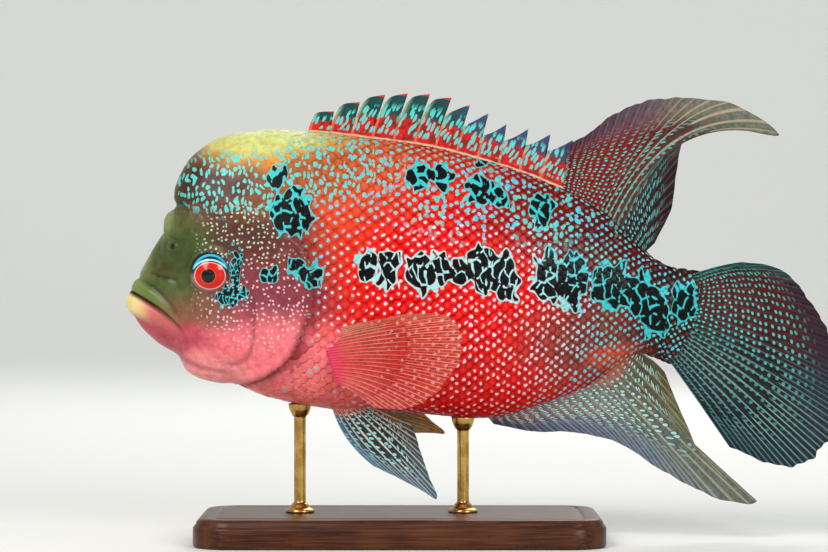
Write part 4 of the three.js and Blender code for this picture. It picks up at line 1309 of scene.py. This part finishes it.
def fin_material(name, across, margin, rays, spots, alpha=(1.0, 1.0)):
    """across and rays are colours from the first ray to the last, margin the colours from root to rim."""
    material, n, shader = new_material(name, roughness=0.42, specular=0.2)
    uv = n.map("rays")
    place = place_in_mm(n)
    count, length, _ = n.parts(uv)
    drift = n.times(n.minus(n.noise(place, 0.12, 3.0, 0.6)["Fac"], 0.5), 0.16)
    order = n.plus(n.math("DIVIDE", count, float(across["rays"])), drift, clamp=True)
    reach = n.plus(length, drift, clamp=True)
    pattern = n.group(fin_pattern_group(), Map=uv, Spot_Rows=spots["rows"], Spot_Size=spots["size"],
                      Scatter=spots["scatter"])
    rim = n.ramp(reach, margin["mask"])
    colour = n.mix(rim, n.ramp(order, across["stops"]), n.ramp(order, margin["stops"]))
    cloud = n.remap(n.noise(place, 0.5, 4.0, 0.65)["Fac"], 0.3, 0.72, 0.0, 0.5)
    colour = n.mix(cloud, colour, n.tinted(colour, "#7c6a72"))
    ray_mask = n.times(pattern["Ray"], n.ramp(length, rays["mask"]))
    colour = n.mix(ray_mask, colour, n.ramp(order, rays["stops"]))
    where = n.times(n.ramp(order, spots["across"]), n.ramp(length, spots["along"]))
    colour = n.mix(n.times(n.times(pattern["Ring"], where), spots["ring"]), colour, "#1a0c10")
    colour = n.mix(n.times(pattern["Spot"], where), colour, spots["colour"])
    if "foot" in across:
        foot_length, foot_colour = across["foot"]
        colour = n.mix(n.remap(length, 0.0, foot_length, 1.0, 0.0), colour, foot_colour)
    n.put(shader.inputs["Base Color"], colour)
    n.put(shader.inputs["Roughness"], n.remap(cloud, 0.0, 0.5, 0.3, 0.5))
    if alpha[1] < 1:
        web = n.remap(length, 0.15, 0.6, *alpha)
        n.put(shader.inputs["Alpha"], n.math("MAXIMUM", web, n.times(ray_mask, 0.92), clamp=True))
    ribs = n.plus(n.times(pattern["Ray"], 0.8), n.times(pattern["Segment"], 0.12))
    bump(n, shader, n.plus(ribs, n.times(n.noise(place, 2.5, 2.0)["Fac"], 0.3)), 0.15, 0.5)
    return material


def soft_dorsal_material(rays, turquoise):
    return fin_material(
        "soft_dorsal_fin",
        {"rays": rays,
         "stops": [(0.0, "#5a1512"), (0.25, "#74100e"), (0.5, "#541614"), (0.62, "#4a3a36"), (0.75, "#1c1620"),
                   (1.0, "#260e10")]},
        {"mask": [(0.0, 0.0), (0.6, 0.0), (0.84, 1.0), (1.0, 1.0)],
         "stops": [(0.0, "#26384a"), (0.35, "#3c4c58"), (0.55, "#6f7160"), (0.64, "#5e6656"), (0.8, "#10161d"),
                   (1.0, "#10161c")]},
        {"mask": [(0.0, 0.7), (0.6, 0.8), (1.0, 0.5)],
         "stops": [(0.0, "#b81f14"), (0.4, "#b02018"), (0.58, "#b3a68a"), (0.7, "#6a3c34"), (1.0, "#6a1618")]},
        {"rows": 26.0, "size": 0.27, "scatter": 0.4, "colour": turquoise, "ring": 0.5,
         "across": [(0.0, 1.0), (0.5, 0.9), (0.64, 0.5), (0.72, 1.0), (1.0, 1.0)],
         "along": [(0.0, 1.0), (0.5, 1.0), (0.82, 0.0), (1.0, 0.0)]},
    )


def tail_material(rays, turquoise):
    return fin_material(
        "tail_fin",
        {"rays": rays, "foot": (0.1, "#240e10"),
         "stops": [(0.0, "#1b484a"), (0.08, "#32181a"), (0.2, "#4c1012"), (0.45, "#3c0e10"), (0.58, "#181214"),
                   (0.8, "#0e1216"), (1.0, "#141c24")]},
        {"mask": [(0.0, 0.0), (0.66, 0.0), (0.9, 0.9), (1.0, 1.0)],
         "stops": [(0.0, "#1f585c"), (0.2, "#242630"), (0.5, "#1c242e"), (1.0, "#18303c")]},
        {"mask": [(0.0, 0.7), (0.7, 0.8), (1.0, 0.4)],
         "stops": [(0.0, "#4c8a84"), (0.06, "#5c948c"), (0.14, "#74150f"), (0.42, "#64201c"), (0.56, "#4c6e6a"),
                   (0.75, "#8aa898"), (1.0, "#5c8084")]},
        {"rows": 24.0, "size": 0.27, "scatter": 0.35, "colour": turquoise, "ring": 0.5,
         "across": [(0.0, 0.4), (0.1, 1.0), (0.5, 1.0), (0.66, 0.55), (1.0, 0.35)],
         "along": [(0.0, 1.0), (0.12, 1.0), (0.7, 0.8), (0.9, 0.0)]},
    )


def anal_material(rays):
    return fin_material(
        "anal_fin",
        {"rays": rays, "foot": (0.2, "#b8523e"),
         "stops": [(0.0, "#a8504c"), (0.3, "#8a7078"), (0.55, "#84807e"), (0.7, "#70746e"), (0.85, "#5c5c4c"),
                   (1.0, "#4a3a30")]},
        {"mask": [(0.0, 0.0), (0.4, 0.0), (0.75, 1.0), (1.0, 1.0)],
         "stops": [(0.0, "#3e4c66"), (0.4, "#465c78"), (0.6, "#54687a"), (0.78, "#626a5e"), (0.9, "#666448"),
                   (1.0, "#4a4230")]},
        {"mask": [(0.0, 0.3), (0.5, 0.8), (1.0, 0.6)],
         "stops": [(0.0, "#7a5a5c"), (0.4, "#a39a88"), (0.7, "#a8a084"), (1.0, "#857a46")]},
        {"rows": 24.0, "size": 0.27, "scatter": 0.45, "colour": "#a4d8d0", "ring": 0.7,
         "across": [(0.0, 1.0), (0.6, 1.0), (0.8, 0.8), (1.0, 0.8)],
         "along": [(0.0, 0.9), (0.1, 1.0), (0.55, 1.0), (0.78, 0.0)]},
    )


def pectoral_material():
    none = [(0.0, 0.0), (1.0, 0.0)]
    return fin_material(
        "pectoral_fin",
        {"rays": PECTORAL_RAYS, "foot": (0.2, "#dc3c62"),
         "stops": [(0.0, "#d88c72"), (0.3, "#d4443c"), (0.7, "#d63c38"), (1.0, "#dc605a")]},
        {"mask": [(0.0, 0.0), (0.7, 0.0), (1.0, 0.7)], "stops": [(0.0, "#b88868"), (1.0, "#d8685c")]},
        {"mask": [(0.0, 0.4), (0.4, 0.85), (1.0, 0.7)],
         "stops": [(0.0, "#f2d8b4"), (0.3, "#e8ae92"), (0.7, "#ec8474"), (1.0, "#ee9080")]},
        {"rows": 10.0, "size": 0.2, "scatter": 0.5, "colour": "#f0c0b0", "ring": 0.0, "across": none,
         "along": none},
        alpha=(0.85, 0.22),
    )


def pelvic_material(name, web, tip, spot):
    return fin_material(
        name,
        {"rays": PELVIC_RAYS, "foot": (0.2, "#c8584a"),
         "stops": [(0.0, tip), (0.2, web), (0.7, web), (1.0, "#8a4a3c")]},
        {"mask": [(0.0, 0.0), (0.6, 0.0), (1.0, 1.0)], "stops": [(0.0, tip), (0.5, tip), (1.0, web)]},
        {"mask": [(0.0, 0.6), (0.6, 0.9), (1.0, 0.5)],
         "stops": [(0.0, "#8fa8b8"), (0.4, "#dcd8c4"), (1.0, "#c8b8a0")]},
        {"rows": 17.0, "size": 0.28, "scatter": 0.6, "colour": spot, "ring": 0.4,
         "across": [(0.0, 0.5), (0.3, 1.0), (1.0, 0.8)],
         "along": [(0.0, 1.0), (0.7, 1.0), (0.92, 0.0)]},
    )


# Spiny part of the dorsal fin
SPINE_COUNT = 12
SPINES_FROM = -38.4
SPINE_PITCH = 8.82
BLADE_LEANS = (8.0, 6.4)  # how far a blade 20 mm high leans back: square ones, pointed ones
NOTCH_HEIGHTS = [(0, 3), (2, 6.5), (4, 8), (7, 9.5), (9, 10.5), (11, 13)]
BLADE_HEIGHTS = [
    (0, 9), (1, 14.3), (2, 18.7), (4, 21.8), (5, 22.3), (7, 20), (8, 17.8), (9, 19), (11, 22.5),
]
BLADE_COLUMNS = 16
BLADE_ROWS = 60
WEB_SUNK = 3.0  # how far the web reaches down into the back
LAST_FOOT_REACH = 1.6  # how much farther the last blade's foot reaches, to the soft part


def back_height(x):
    """Height of the back's outline at x."""
    line = spline(BACK, np.linspace(9, LAST_RIB, 600))
    return np.interp(x, line[:, 0], line[:, 1])


def blade_column(i, w, v):
    """Side line (x, z) and share of the blade's height of one column: w runs from 0 at its spine to 1."""
    notch = float(along(NOTCH_HEIGHTS, i))
    high = float(along(BLADE_HEIGHTS, i))
    pointed = float(np.clip((i - 5) / 3, 0, 1))
    square = high * (0.86 + 0.14 * w) * (1 - 0.1 * bell(w, 0.12))
    point = notch + (high - notch) * w**1.25
    top = notch if w in (0.0, 1.0) else square * (1 - pointed) + point * pointed
    h = -WEB_SUNK + (top + WEB_SUNK) * v
    rising = np.clip(h / high, 0, 1.2)
    opened = np.clip((h - notch) / max(high - notch, 1), 0, 1)
    gap = (0.4 - 0.2 * pointed) * opened**0.55
    lean = BLADE_LEANS[0] * (1 - pointed) + BLADE_LEANS[1] * pointed
    foot = SPINES_FROM + i * SPINE_PITCH
    x = foot + SPINE_PITCH * w * (1 - gap) + lean * high / 20 * rising**1.3
    x = x + 2.0 * w**3 * (1 - pointed) * opened**3
    if i == SPINE_COUNT - 1:
        x = x + LAST_FOOT_REACH * w**3 * np.clip(1 - rising, 0, 1)
    return x, back_height(x) + h, h / high


def build_spiny_dorsal(material):
    """One web with a blade behind each spine: tall and square in front, low and pointed at the rear."""
    v = np.linspace(0, 1, BLADE_ROWS)
    sheets = ([], [])
    rays = []
    for i in range(SPINE_COUNT):
        for w in (0.0, *np.linspace(0.004, 0.985, BLADE_COLUMNS), 1.0):
            x, z, height = blade_column(i, w, v)
            spine = bell(w - 0.05, 0.07) + (bell(w - 1.05, 0.07) if i < SPINE_COUNT - 1 else 0)
            half = 0.35 + 1.0 * (1 - v) ** 2 + 0.4 * spine * (1 - 0.6 * v) + 0.06 * np.sin(w * 40)
            y = swing(x) + 0.3 * np.sin(w * math.pi) * v
            for sheet, way in zip(sheets, (-1, 1)):
                sheet.append(np.stack([x, y + way * half, z], -1))
            rays.append(np.stack([np.full(BLADE_ROWS, i + w), height], -1))
    rays = np.array(rays)
    share = np.stack([rays[..., 0] / SPINE_COUNT, np.repeat(v[None], len(rays), 0)], -1)
    return closed_sheet("dorsal_spiny", [np.array(sheet) for sheet in sheets], rays, share, material)


def spiny_material(turquoise):
    """Red below and teal above, with pale spines, turquoise spots, and tips red in front and blue behind."""
    material, n, shader = new_material("spiny_dorsal_fin", roughness=0.4, specular=0.25)
    uv = n.map("rays")
    count, height, _ = n.parts(uv)
    place = place_in_mm(n)
    blade = n.math("FRACT", count)
    order = n.math("DIVIDE", count, float(SPINE_COUNT), clamp=True)
    drift = n.times(n.minus(n.noise(place, 0.3, 3.0)["Fac"], 0.5), 0.25)
    teal = n.mix(n.remap(blade, 0.0, 0.4), "#6c8c72", "#123f3c")
    teal = n.mix(n.remap(order, 0.45, 0.7), teal, n.mix(height, "#6a1a18", "#0f4a6c"))
    lower = n.mix(n.remap(n.noise(place, 0.5, 2.0)["Fac"], 0.35, 0.65), "#cc1410", "#7a2018")
    colour = n.mix(n.remap(n.plus(height, drift), 0.4, 0.56), lower, teal)
    foot = n.remap(n.plus(height, n.times(drift, 0.2)), 0.0, 0.035, 1.0, 0.0)
    colour = n.mix(foot, colour, "#d8b08c")
    turned = n.add("ShaderNodeVectorRotate", rotation_type="Y_AXIS")
    n.put(turned.inputs["Vector"], place)
    turned.inputs["Angle"].default_value = -0.5
    spots = speckles(n, turned.outputs[0], 0.46, 0.4, 0.97, 2.0, (1.35, 0.0, 0.4))
    spot_zone = n.times(n.remap(height, 0.08, 0.16), n.remap(height, 0.62, 0.8, 1.0, 0.0))
    colour = n.mix(n.times(spots, spot_zone), colour, turquoise)
    tips = n.mix(n.remap(order, 0.5, 0.7), "#d0200f", "#2a7ca8")
    colour = n.mix(n.remap(height, 0.93, 0.96), colour, tips)
    spine = n.remap(n.math("ABSOLUTE", n.minus(blade, 0.06)), 0.03, 0.1, 1.0, 0.0)
    colour = n.mix(n.times(spine, 0.55), colour, n.mix(n.remap(height, 0.3, 0.6), "#d08060", "#93a884"))
    n.put(shader.inputs["Base Color"], colour)
    streaks = n.add("ShaderNodeTexWave", wave_type="BANDS", bands_direction="X")
    n.put(streaks.inputs["Vector"], uv)
    streaks.inputs["Scale"].default_value = 2.6
    streaks.inputs["Distortion"].default_value = 1.5
    bump(n, shader, n.plus(n.times(streaks.outputs["Fac"], 0.5), n.times(spine, 0.6)), 0.2, 0.5)
    return material


# Stand
def wood_material(tone):
    material, n, shader = new_material("stand_walnut", roughness=0.4, coat=0.15, coat_roughness=0.3,
                                       specular=0.3)
    place = place_in_mm(n)
    bent = n.vector("ADD", place, n.vector("MULTIPLY", n.noise(place, 0.012, 3.0)["Color"], (10, 26, 26)))
    rings = n.add("ShaderNodeTexWave", wave_type="BANDS", bands_direction="Y", wave_profile="SIN")
    n.put(rings.inputs["Vector"], n.vector("MULTIPLY", bent, (0.0, 0.05, 0.09)))
    rings.inputs["Scale"].default_value = 0.9
    rings.inputs["Distortion"].default_value = 2.0
    rings.inputs["Detail"].default_value = 3.0
    fibre = n.noise(n.vector("MULTIPLY", place, (0.05, 1.6, 1.6)), 1.0, 4.0, 0.65)["Fac"]
    pore = n.noise(n.vector("MULTIPLY", place, (0.12, 3.4, 3.4)), 1.0, 2.0)["Fac"]
    colour = n.mix(rings.outputs["Fac"], n.tinted(tone, "#a88878"), tone)
    colour = n.mix(n.remap(fibre, 0.35, 0.75, 0.0, 0.5), colour, n.mix(1.0, tone, "#5a3418", "SCREEN"))
    colour = n.mix(n.remap(pore, 0.62, 0.72, 0.0, 0.7), colour, "#1c100a")
    n.put(shader.inputs["Base Color"], colour)
    n.put(shader.inputs["Roughness"], n.remap(fibre, 0.3, 0.7, 0.28, 0.45))
    bump(n, shader, n.plus(n.times(fibre, 0.4), n.times(pore, -0.4)), 0.12, 0.5)
    return material


def brass_material():
    material, n, shader = new_material("stand_brass", roughness=0.24)
    shader.inputs["Metallic"].default_value = 1.0
    place = place_in_mm(n)
    brushed = n.noise(n.vector("MULTIPLY", place, (2.0, 2.0, 0.15)), 1.0, 3.0, 0.6)["Fac"]
    stain = n.noise(place, 0.15, 3.0, 0.6)["Fac"]
    n.put(shader.inputs["Base Color"], n.mix(n.remap(stain, 0.35, 0.7), "#c9a45c", "#a37c3e"))
    n.put(shader.inputs["Roughness"], n.remap(n.plus(brushed, stain), 0.7, 1.3, 0.16, 0.36))
    bump(n, shader, brushed, 0.03, 0.4)
    return material


def build_base(material):
    """A plate with round corners: a foot, a cove and a rounded top edge, with a fine groove round its top."""
    low, high = (np.array(corner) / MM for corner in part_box("stand_base"))
    size = high - low
    corner = 16.0
    height = size[2]
    edge = [(1.2, 0.0), (0.5, 0.25), (0.1, 0.9), (0.0, 2.0), (0.0, height - 4.2), (0.35, height - 3.4),
            (1.0, height - 3.0), (1.3, height - 2.2), (1.6, height - 1.3), (2.3, height - 0.5), (3.3, height - 0.1),
            (4.4, height), (8.2, height), (8.5, height - 0.15), (8.8, height - 0.45), (9.2, height - 0.5),
            (9.6, height - 0.45), (9.9, height - 0.15), (10.2, height), (14.0, height)]
    rings = []
    for inset, z in edge:
        r = corner - min(inset, corner - 1.5)
        ring = []
        for quarter in range(4):
            middle = math.pi / 2 * quarter
            side_x = 1 if quarter in (0, 3) else -1
            side_y = 1 if quarter in (0, 1) else -1
            for a in np.linspace(middle, middle + math.pi / 2, 14):
                ring.append((side_x * (size[0] / 2 - inset - r) + r * math.cos(a),
                             side_y * (size[1] / 2 - inset - r) + r * math.sin(a), z))
        rings.append(ring)
    count = len(rings[0])
    points = np.array(rings).reshape(-1, 3)
    faces = grid_faces(len(rings), count, ring=True)
    faces.append(list(range(count))[::-1])
    faces.append([(len(rings) - 1) * count + j for j in range(count)])
    made = mesh_object("stand_plate", points, outward(points, faces), material)
    flat = [len(face.vertices) > 4 for face in made.data.polygons]
    made.data.polygons.foreach_set("use_smooth", [not f for f in flat])
    return made


def build_rod(name, node, material):
    """A turned rod with a collar on the base and a small cup under the belly."""
    low, high = (np.array(corner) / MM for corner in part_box(node))
    plate_top = (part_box("stand_base")[1][2]) / MM
    x, y = (low[0] + high[0]) / 2, (low[1] + high[1]) / 2
    radius = (high[0] - low[0]) / 2
    body = high[2] - 10.0
    profile = [(0, low[2]), (radius, low[2]), (radius, plate_top), (6.2, plate_top), (6.2, plate_top + 1.2),
               (4.6, plate_top + 2.0), (3.4, plate_top + 3.6), (radius, plate_top + 4.4), (radius, body - 5.0),
               (3.3, body - 4.2), (4.4, body - 2.0), (5.0, body + 0.6), (radius, body + 1.2), (radius, high[2]),
               (0, high[2])]
    return lathe(name, rounded(profile, 0.5), (x, y, 0.0), material, 48)


# Stage
def build_stage(settings):
    """A pale floor that curves up into a round wall, soft lights and the camera."""
    material, n, shader = new_material("stage_floor", roughness=0.85)
    place = n.add("ShaderNodeTexCoord").outputs["Object"]
    tone = tuple(settings.floor_colour) + (1.0,)
    darker = tuple(c * 0.96 for c in tone[:3]) + (1.0,)
    n.put(shader.inputs["Base Color"], n.mix(n.noise(place, 1.2, 2.0)["Fac"], tone, darker))
    radius = settings.stage_radius / MM
    bowl = [(0, 0), (radius * 0.62, 0)]
    bends = np.radians(range(6, 91, 6))
    bowl += [(radius * (0.62 + 0.38 * math.sin(a)), radius * 0.38 * (1 - math.cos(a))) for a in bends]
    bowl += [(radius, radius * 0.95), (radius * 1.02, radius * 0.95), (radius * 1.02, -20), (0, -20)]
    floor = lathe("stage_floor", bowl, (0, 0, 0.0), material, 128)

    world = bpy.data.worlds.new("soft_studio")
    bpy.context.scene.world = world
    world.use_nodes = True
    world.node_tree.nodes["Background"].inputs[0].default_value = (0.93, 0.96, 1.0, 1.0)
    world.node_tree.nodes["Background"].inputs[1].default_value = settings.room_light
    fish = (0.0, 0.0, 0.11)
    wall = (0.0, settings.stage_radius, 0.6)
    rows = [
        ("key_light", (-0.75, -1.15, 1.15), fish, 0.9, settings.key_power, (1.0, 0.97, 0.93)),
        ("fill_light", (1.3, -1.8, 0.9), fish, 0.9, 2.4 * settings.fill_power, (0.93, 0.97, 1.0)),
        ("back_light", (0.4, 1.2, 1.1), fish, 1.0, settings.fill_power, (1.0, 1.0, 1.0)),
        ("wall_light", (0.0, 1.6, 2.4), wall, 2.0, settings.wall_power, (1.0, 1.0, 1.0)),
    ]
    for name, place, aim, size, power, colour in rows:
        light = bpy.data.lights.new(name, "AREA")
        light.shape = "DISK"
        light.size = size
        light.energy = power
        light.color = colour
        lamp = bpy.data.objects.new(name, light)
        lamp.location = place
        lamp.rotation_euler = (Vector(aim) - Vector(place)).to_track_quat("-Z", "Y").to_euler()
        bpy.context.collection.objects.link(lamp)

    camera = bpy.data.cameras.new("camera")
    camera.lens = settings.lens
    camera.sensor_width = 36.0
    camera.clip_start = 0.01
    camera.clip_end = 50.0
    seen = bpy.data.objects.new("camera", camera)
    seen.location = (settings.camera_across, -settings.camera_distance, settings.camera_height)
    seen.rotation_euler = (math.pi / 2, 0, 0)
    bpy.context.collection.objects.link(seen)
    scene = bpy.context.scene
    scene.camera = seen
    scene.view_settings.view_transform = "Standard"
    scene.view_settings.exposure = settings.exposure


# Settings
class FishSizes(bpy.types.PropertyGroup):
    scale_pitch: bpy.props.FloatProperty(
        name="Scale height", description="Distance between the scales of one upright row",
        default=0.0050, min=0.002, max=0.02, subtype="DISTANCE", unit="LENGTH")
    scale_column: bpy.props.FloatProperty(
        name="Row step", description="Distance from one upright row of scales to the next",
        default=0.0030, min=0.001, max=0.02, subtype="DISTANCE", unit="LENGTH")
    scale_length: bpy.props.FloatProperty(
        name="Scale length", description="Length of a whole scale with its hidden root",
        default=0.0072, min=0.002, max=0.03, subtype="DISTANCE", unit="LENGTH")
    scale_width: bpy.props.FloatProperty(
        name="Scale width", description="Width of one scale",
        default=0.0060, min=0.002, max=0.03, subtype="DISTANCE", unit="LENGTH")
    scale_thickness: bpy.props.FloatProperty(
        name="Scale thickness", description="Thickness of one scale",
        default=0.00022, min=0.0001, max=0.002, subtype="DISTANCE", unit="LENGTH")
    scale_tilt_degrees: bpy.props.FloatProperty(
        name="Scale lift", description="Degrees by which a scale's free edge is lifted", default=3.6, min=0, max=20)
    seed: bpy.props.IntProperty(name="Seed", description="Start of the chance draws", default=7, min=0)
    fin_wear: bpy.props.FloatProperty(
        name="Fin wear", description="How uneven the fins' margins are, as a share of ray length",
        default=0.012, min=0, max=0.1, subtype="FACTOR")
    lens_bulge: bpy.props.FloatProperty(
        name="Eye lens", description="How far the lens stands over the eyeball",
        default=0.0006, min=0, max=0.003, subtype="DISTANCE", unit="LENGTH")


def colour_property(label, text, colour):
    return bpy.props.FloatVectorProperty(name=label, description=text, default=linear(colour)[:3], min=0, max=1,
                                         subtype="COLOR")


class FishColours(bpy.types.PropertyGroup):
    edging: colour_property("Edging", "Line round the black marks", "#2fb9bd")
    black: colour_property("Black", "The black marks on the flank", "#020303")
    pearl: colour_property("Pearl", "Pale pearls on the red flank and cheek", "#ecc6cc")
    turquoise: colour_property("Turquoise", "Pearls of the back, tail and fins", "#52bfb8")
    wood: colour_property("Wood", "The stand's base", "#4a2512")


class StageSettings(bpy.types.PropertyGroup):
    floor_colour: colour_property("Floor", "The floor and wall", "#e2e2de")
    stage_radius: bpy.props.FloatProperty(
        name="Stage radius", description="Radius of the round wall", default=4.5, min=2, max=20, unit="LENGTH")
    room_light: bpy.props.FloatProperty(name="Room light", description="Strength of the sky", default=0.62, min=0)
    key_power: bpy.props.FloatProperty(
        name="Key light", description="Power of the main light", default=20, unit="POWER")
    fill_power: bpy.props.FloatProperty(name="Fill light", description="Power of the others", default=10, unit="POWER")
    wall_power: bpy.props.FloatProperty(name="Wall light", description="Power on the wall", default=30, unit="POWER")
    exposure: bpy.props.FloatProperty(name="Exposure", description="Exposure in stops", default=0.0)
    lens: bpy.props.FloatProperty(name="Lens", description="Focal length in mm", default=124.2)
    camera_distance: bpy.props.FloatProperty(
        name="Distance", description="From the camera to the fish's middle", default=1.2, unit="LENGTH")
    camera_across: bpy.props.FloatProperty(
        name="Across", description="The camera's place along the fish", default=0.0059, unit="LENGTH")
    camera_height: bpy.props.FloatProperty(
        name="Height", description="The camera's height over the floor", default=0.1113, unit="LENGTH")


# Operators
def keep(piece, slot, *nodes):
    """Makes a piece ride on the fish's one body in place of its solids; its slot is not used."""
    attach(piece, "root")
    if nodes:
        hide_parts(*nodes)
    return piece


class FISH_OT_skin(bpy.types.Operator):
    """Builds the one skin of head, trunk and tail stalk"""
    bl_idname = "fish.skin"
    bl_label = "Body skin"

    def execute(self, context):
        skin = build_skin(skin_material())
        keep(skin, "skin", "head", "nuchal_hump", "upper_lip", "lower_jaw", "gill_cover_left", "gill_cover_right",
             "trunk", "tail_stalk")
        return {"FINISHED"}


class FISH_OT_scales(bpy.types.Operator):
    """Lays overlapping scales over both flanks"""
    bl_idname = "fish.scales"
    bl_label = "Scales"

    def execute(self, context):
        material = scale_material()
        for side in (-1, 1):
            for end in ("front", "rear"):
                keep(build_scales(context.scene.flowerhorn_sizes, material, side, end), "skin")
        return {"FINISHED"}


class FISH_OT_eyes(bpy.types.Operator):
    """Builds both eyes"""
    bl_idname = "fish.eyes"
    bl_label = "Eyes"

    def execute(self, context):
        material = eye_material()
        for name, side in (("left", -1), ("right", 1)):
            eye = build_eye(name, material, side, context.scene.flowerhorn_sizes.lens_bulge)
            keep(eye, "eye", f"eye_{name}")
        return {"FINISHED"}


class FISH_OT_middle_fins(bpy.types.Operator):
    """Builds the dorsal, tail and anal fins"""
    bl_idname = "fish.middle_fins"
    bl_label = "Dorsal, tail and anal fins"

    def execute(self, context):
        wear = context.scene.flowerhorn_sizes.fin_wear
        turquoise = looks()["turquoise"]
        keep(build_spiny_dorsal(spiny_material(turquoise)), "fin", "dorsal_fin_spiny")
        soft = soft_dorsal_material(22, turquoise)
        tail = tail_material(26, turquoise)
        anal = anal_material(22)
        keep(fan_fin("dorsal_soft", SOFT_DORSAL, 22, soft_dorsal_depth, soft, wear), "fin", "dorsal_fin_soft")
        keep(fan_fin("tail", TAIL_FIN, 26, tail_depth, tail, wear), "fin", "tail_fin")
        keep(fan_fin("anal", ANAL_FIN, 22, anal_depth, anal, wear), "fin", "anal_fin")
        return {"FINISHED"}


class FISH_OT_paired_fins(bpy.types.Operator):
    """Builds the pectoral and pelvic fins"""
    bl_idname = "fish.paired_fins"
    bl_label = "Pectoral and pelvic fins"

    def execute(self, context):
        wear = context.scene.flowerhorn_sizes.fin_wear
        pectoral = pectoral_material()
        dark = pelvic_material("pelvic_fin_dark", "#34383e", "#54748c", "#8fd0cc")
        warm = pelvic_material("pelvic_fin_warm", "#c8933c", "#d8a850", looks()["turquoise"])
        for name, side, table, finish in (("left", -1, PELVIC, dark), ("right", 1, folded_pelvic(), warm)):
            fin = fan_fin(f"pectoral_{name}", PECTORAL, PECTORAL_RAYS, pectoral_depth(side), pectoral, wear,
                          steps=(10, 70), root=1.3, edge=0.22)
            keep(fin, "fin", f"pectoral_fin_{name}")
            fin = fan_fin(f"pelvic_{name}", table, PELVIC_RAYS, pelvic_depth(side), finish, wear,
                          steps=(12, 70), root=1.4)
            keep(fin, "fin", f"pelvic_fin_{name}")
        return {"FINISHED"}


class FISH_OT_stand(bpy.types.Operator):
    """Builds the wooden base and the two brass rods"""
    bl_idname = "fish.stand"
    bl_label = "Display stand"

    def execute(self, context):
        tone = tuple(context.scene.flowerhorn_colours.wood) + (1.0,)
        keep(build_base(wood_material(tone)), "stand_wood", "stand_base")
        brass = brass_material()
        for end in ("front", "rear"):
            keep(build_rod(f"stand_post_{end}", f"stand_rod_{end}", brass), "stand_brass", f"stand_rod_{end}")
        return {"FINISHED"}


class FISH_OT_stage(bpy.types.Operator):
    """Sets up the floor, the lights and the camera"""
    bl_idname = "fish.stage"
    bl_label = "Stage"

    def execute(self, context):
        build_stage(context.scene.flowerhorn_stage)
        return {"FINISHED"}


STEPS = (FISH_OT_skin, FISH_OT_scales, FISH_OT_eyes, FISH_OT_middle_fins, FISH_OT_paired_fins, FISH_OT_stand,
         FISH_OT_stage)


class FISH_PT_panel(bpy.types.Panel):
    """Lists the steps that build the fish"""
    bl_idname = "FISH_PT_panel"
    bl_label = "Flowerhorn cichlid"
    bl_space_type = "VIEW_3D"
    bl_region_type = "UI"
    bl_category = "Fish"

    def draw(self, context):
        for step in STEPS:
            self.layout.operator(step.bl_idname)


GROUPS = {"flowerhorn_sizes": FishSizes, "flowerhorn_colours": FishColours, "flowerhorn_stage": StageSettings}


def register():
    for kind in (*GROUPS.values(), *STEPS, FISH_PT_panel):
        bpy.utils.register_class(kind)
    for name, kind in GROUPS.items():
        setattr(bpy.types.Scene, name, bpy.props.PointerProperty(type=kind))


def unregister():
    for name in GROUPS:
        delattr(bpy.types.Scene, name)
    for kind in (FISH_PT_panel, *STEPS[::-1], *list(GROUPS.values())[::-1]):
        bpy.utils.unregister_class(kind)


def main():
    register()
    for step in STEPS:
        area, action = step.bl_idname.split(".")
        getattr(getattr(bpy.ops, area), action)()


if __name__ == "__main__":
    main()
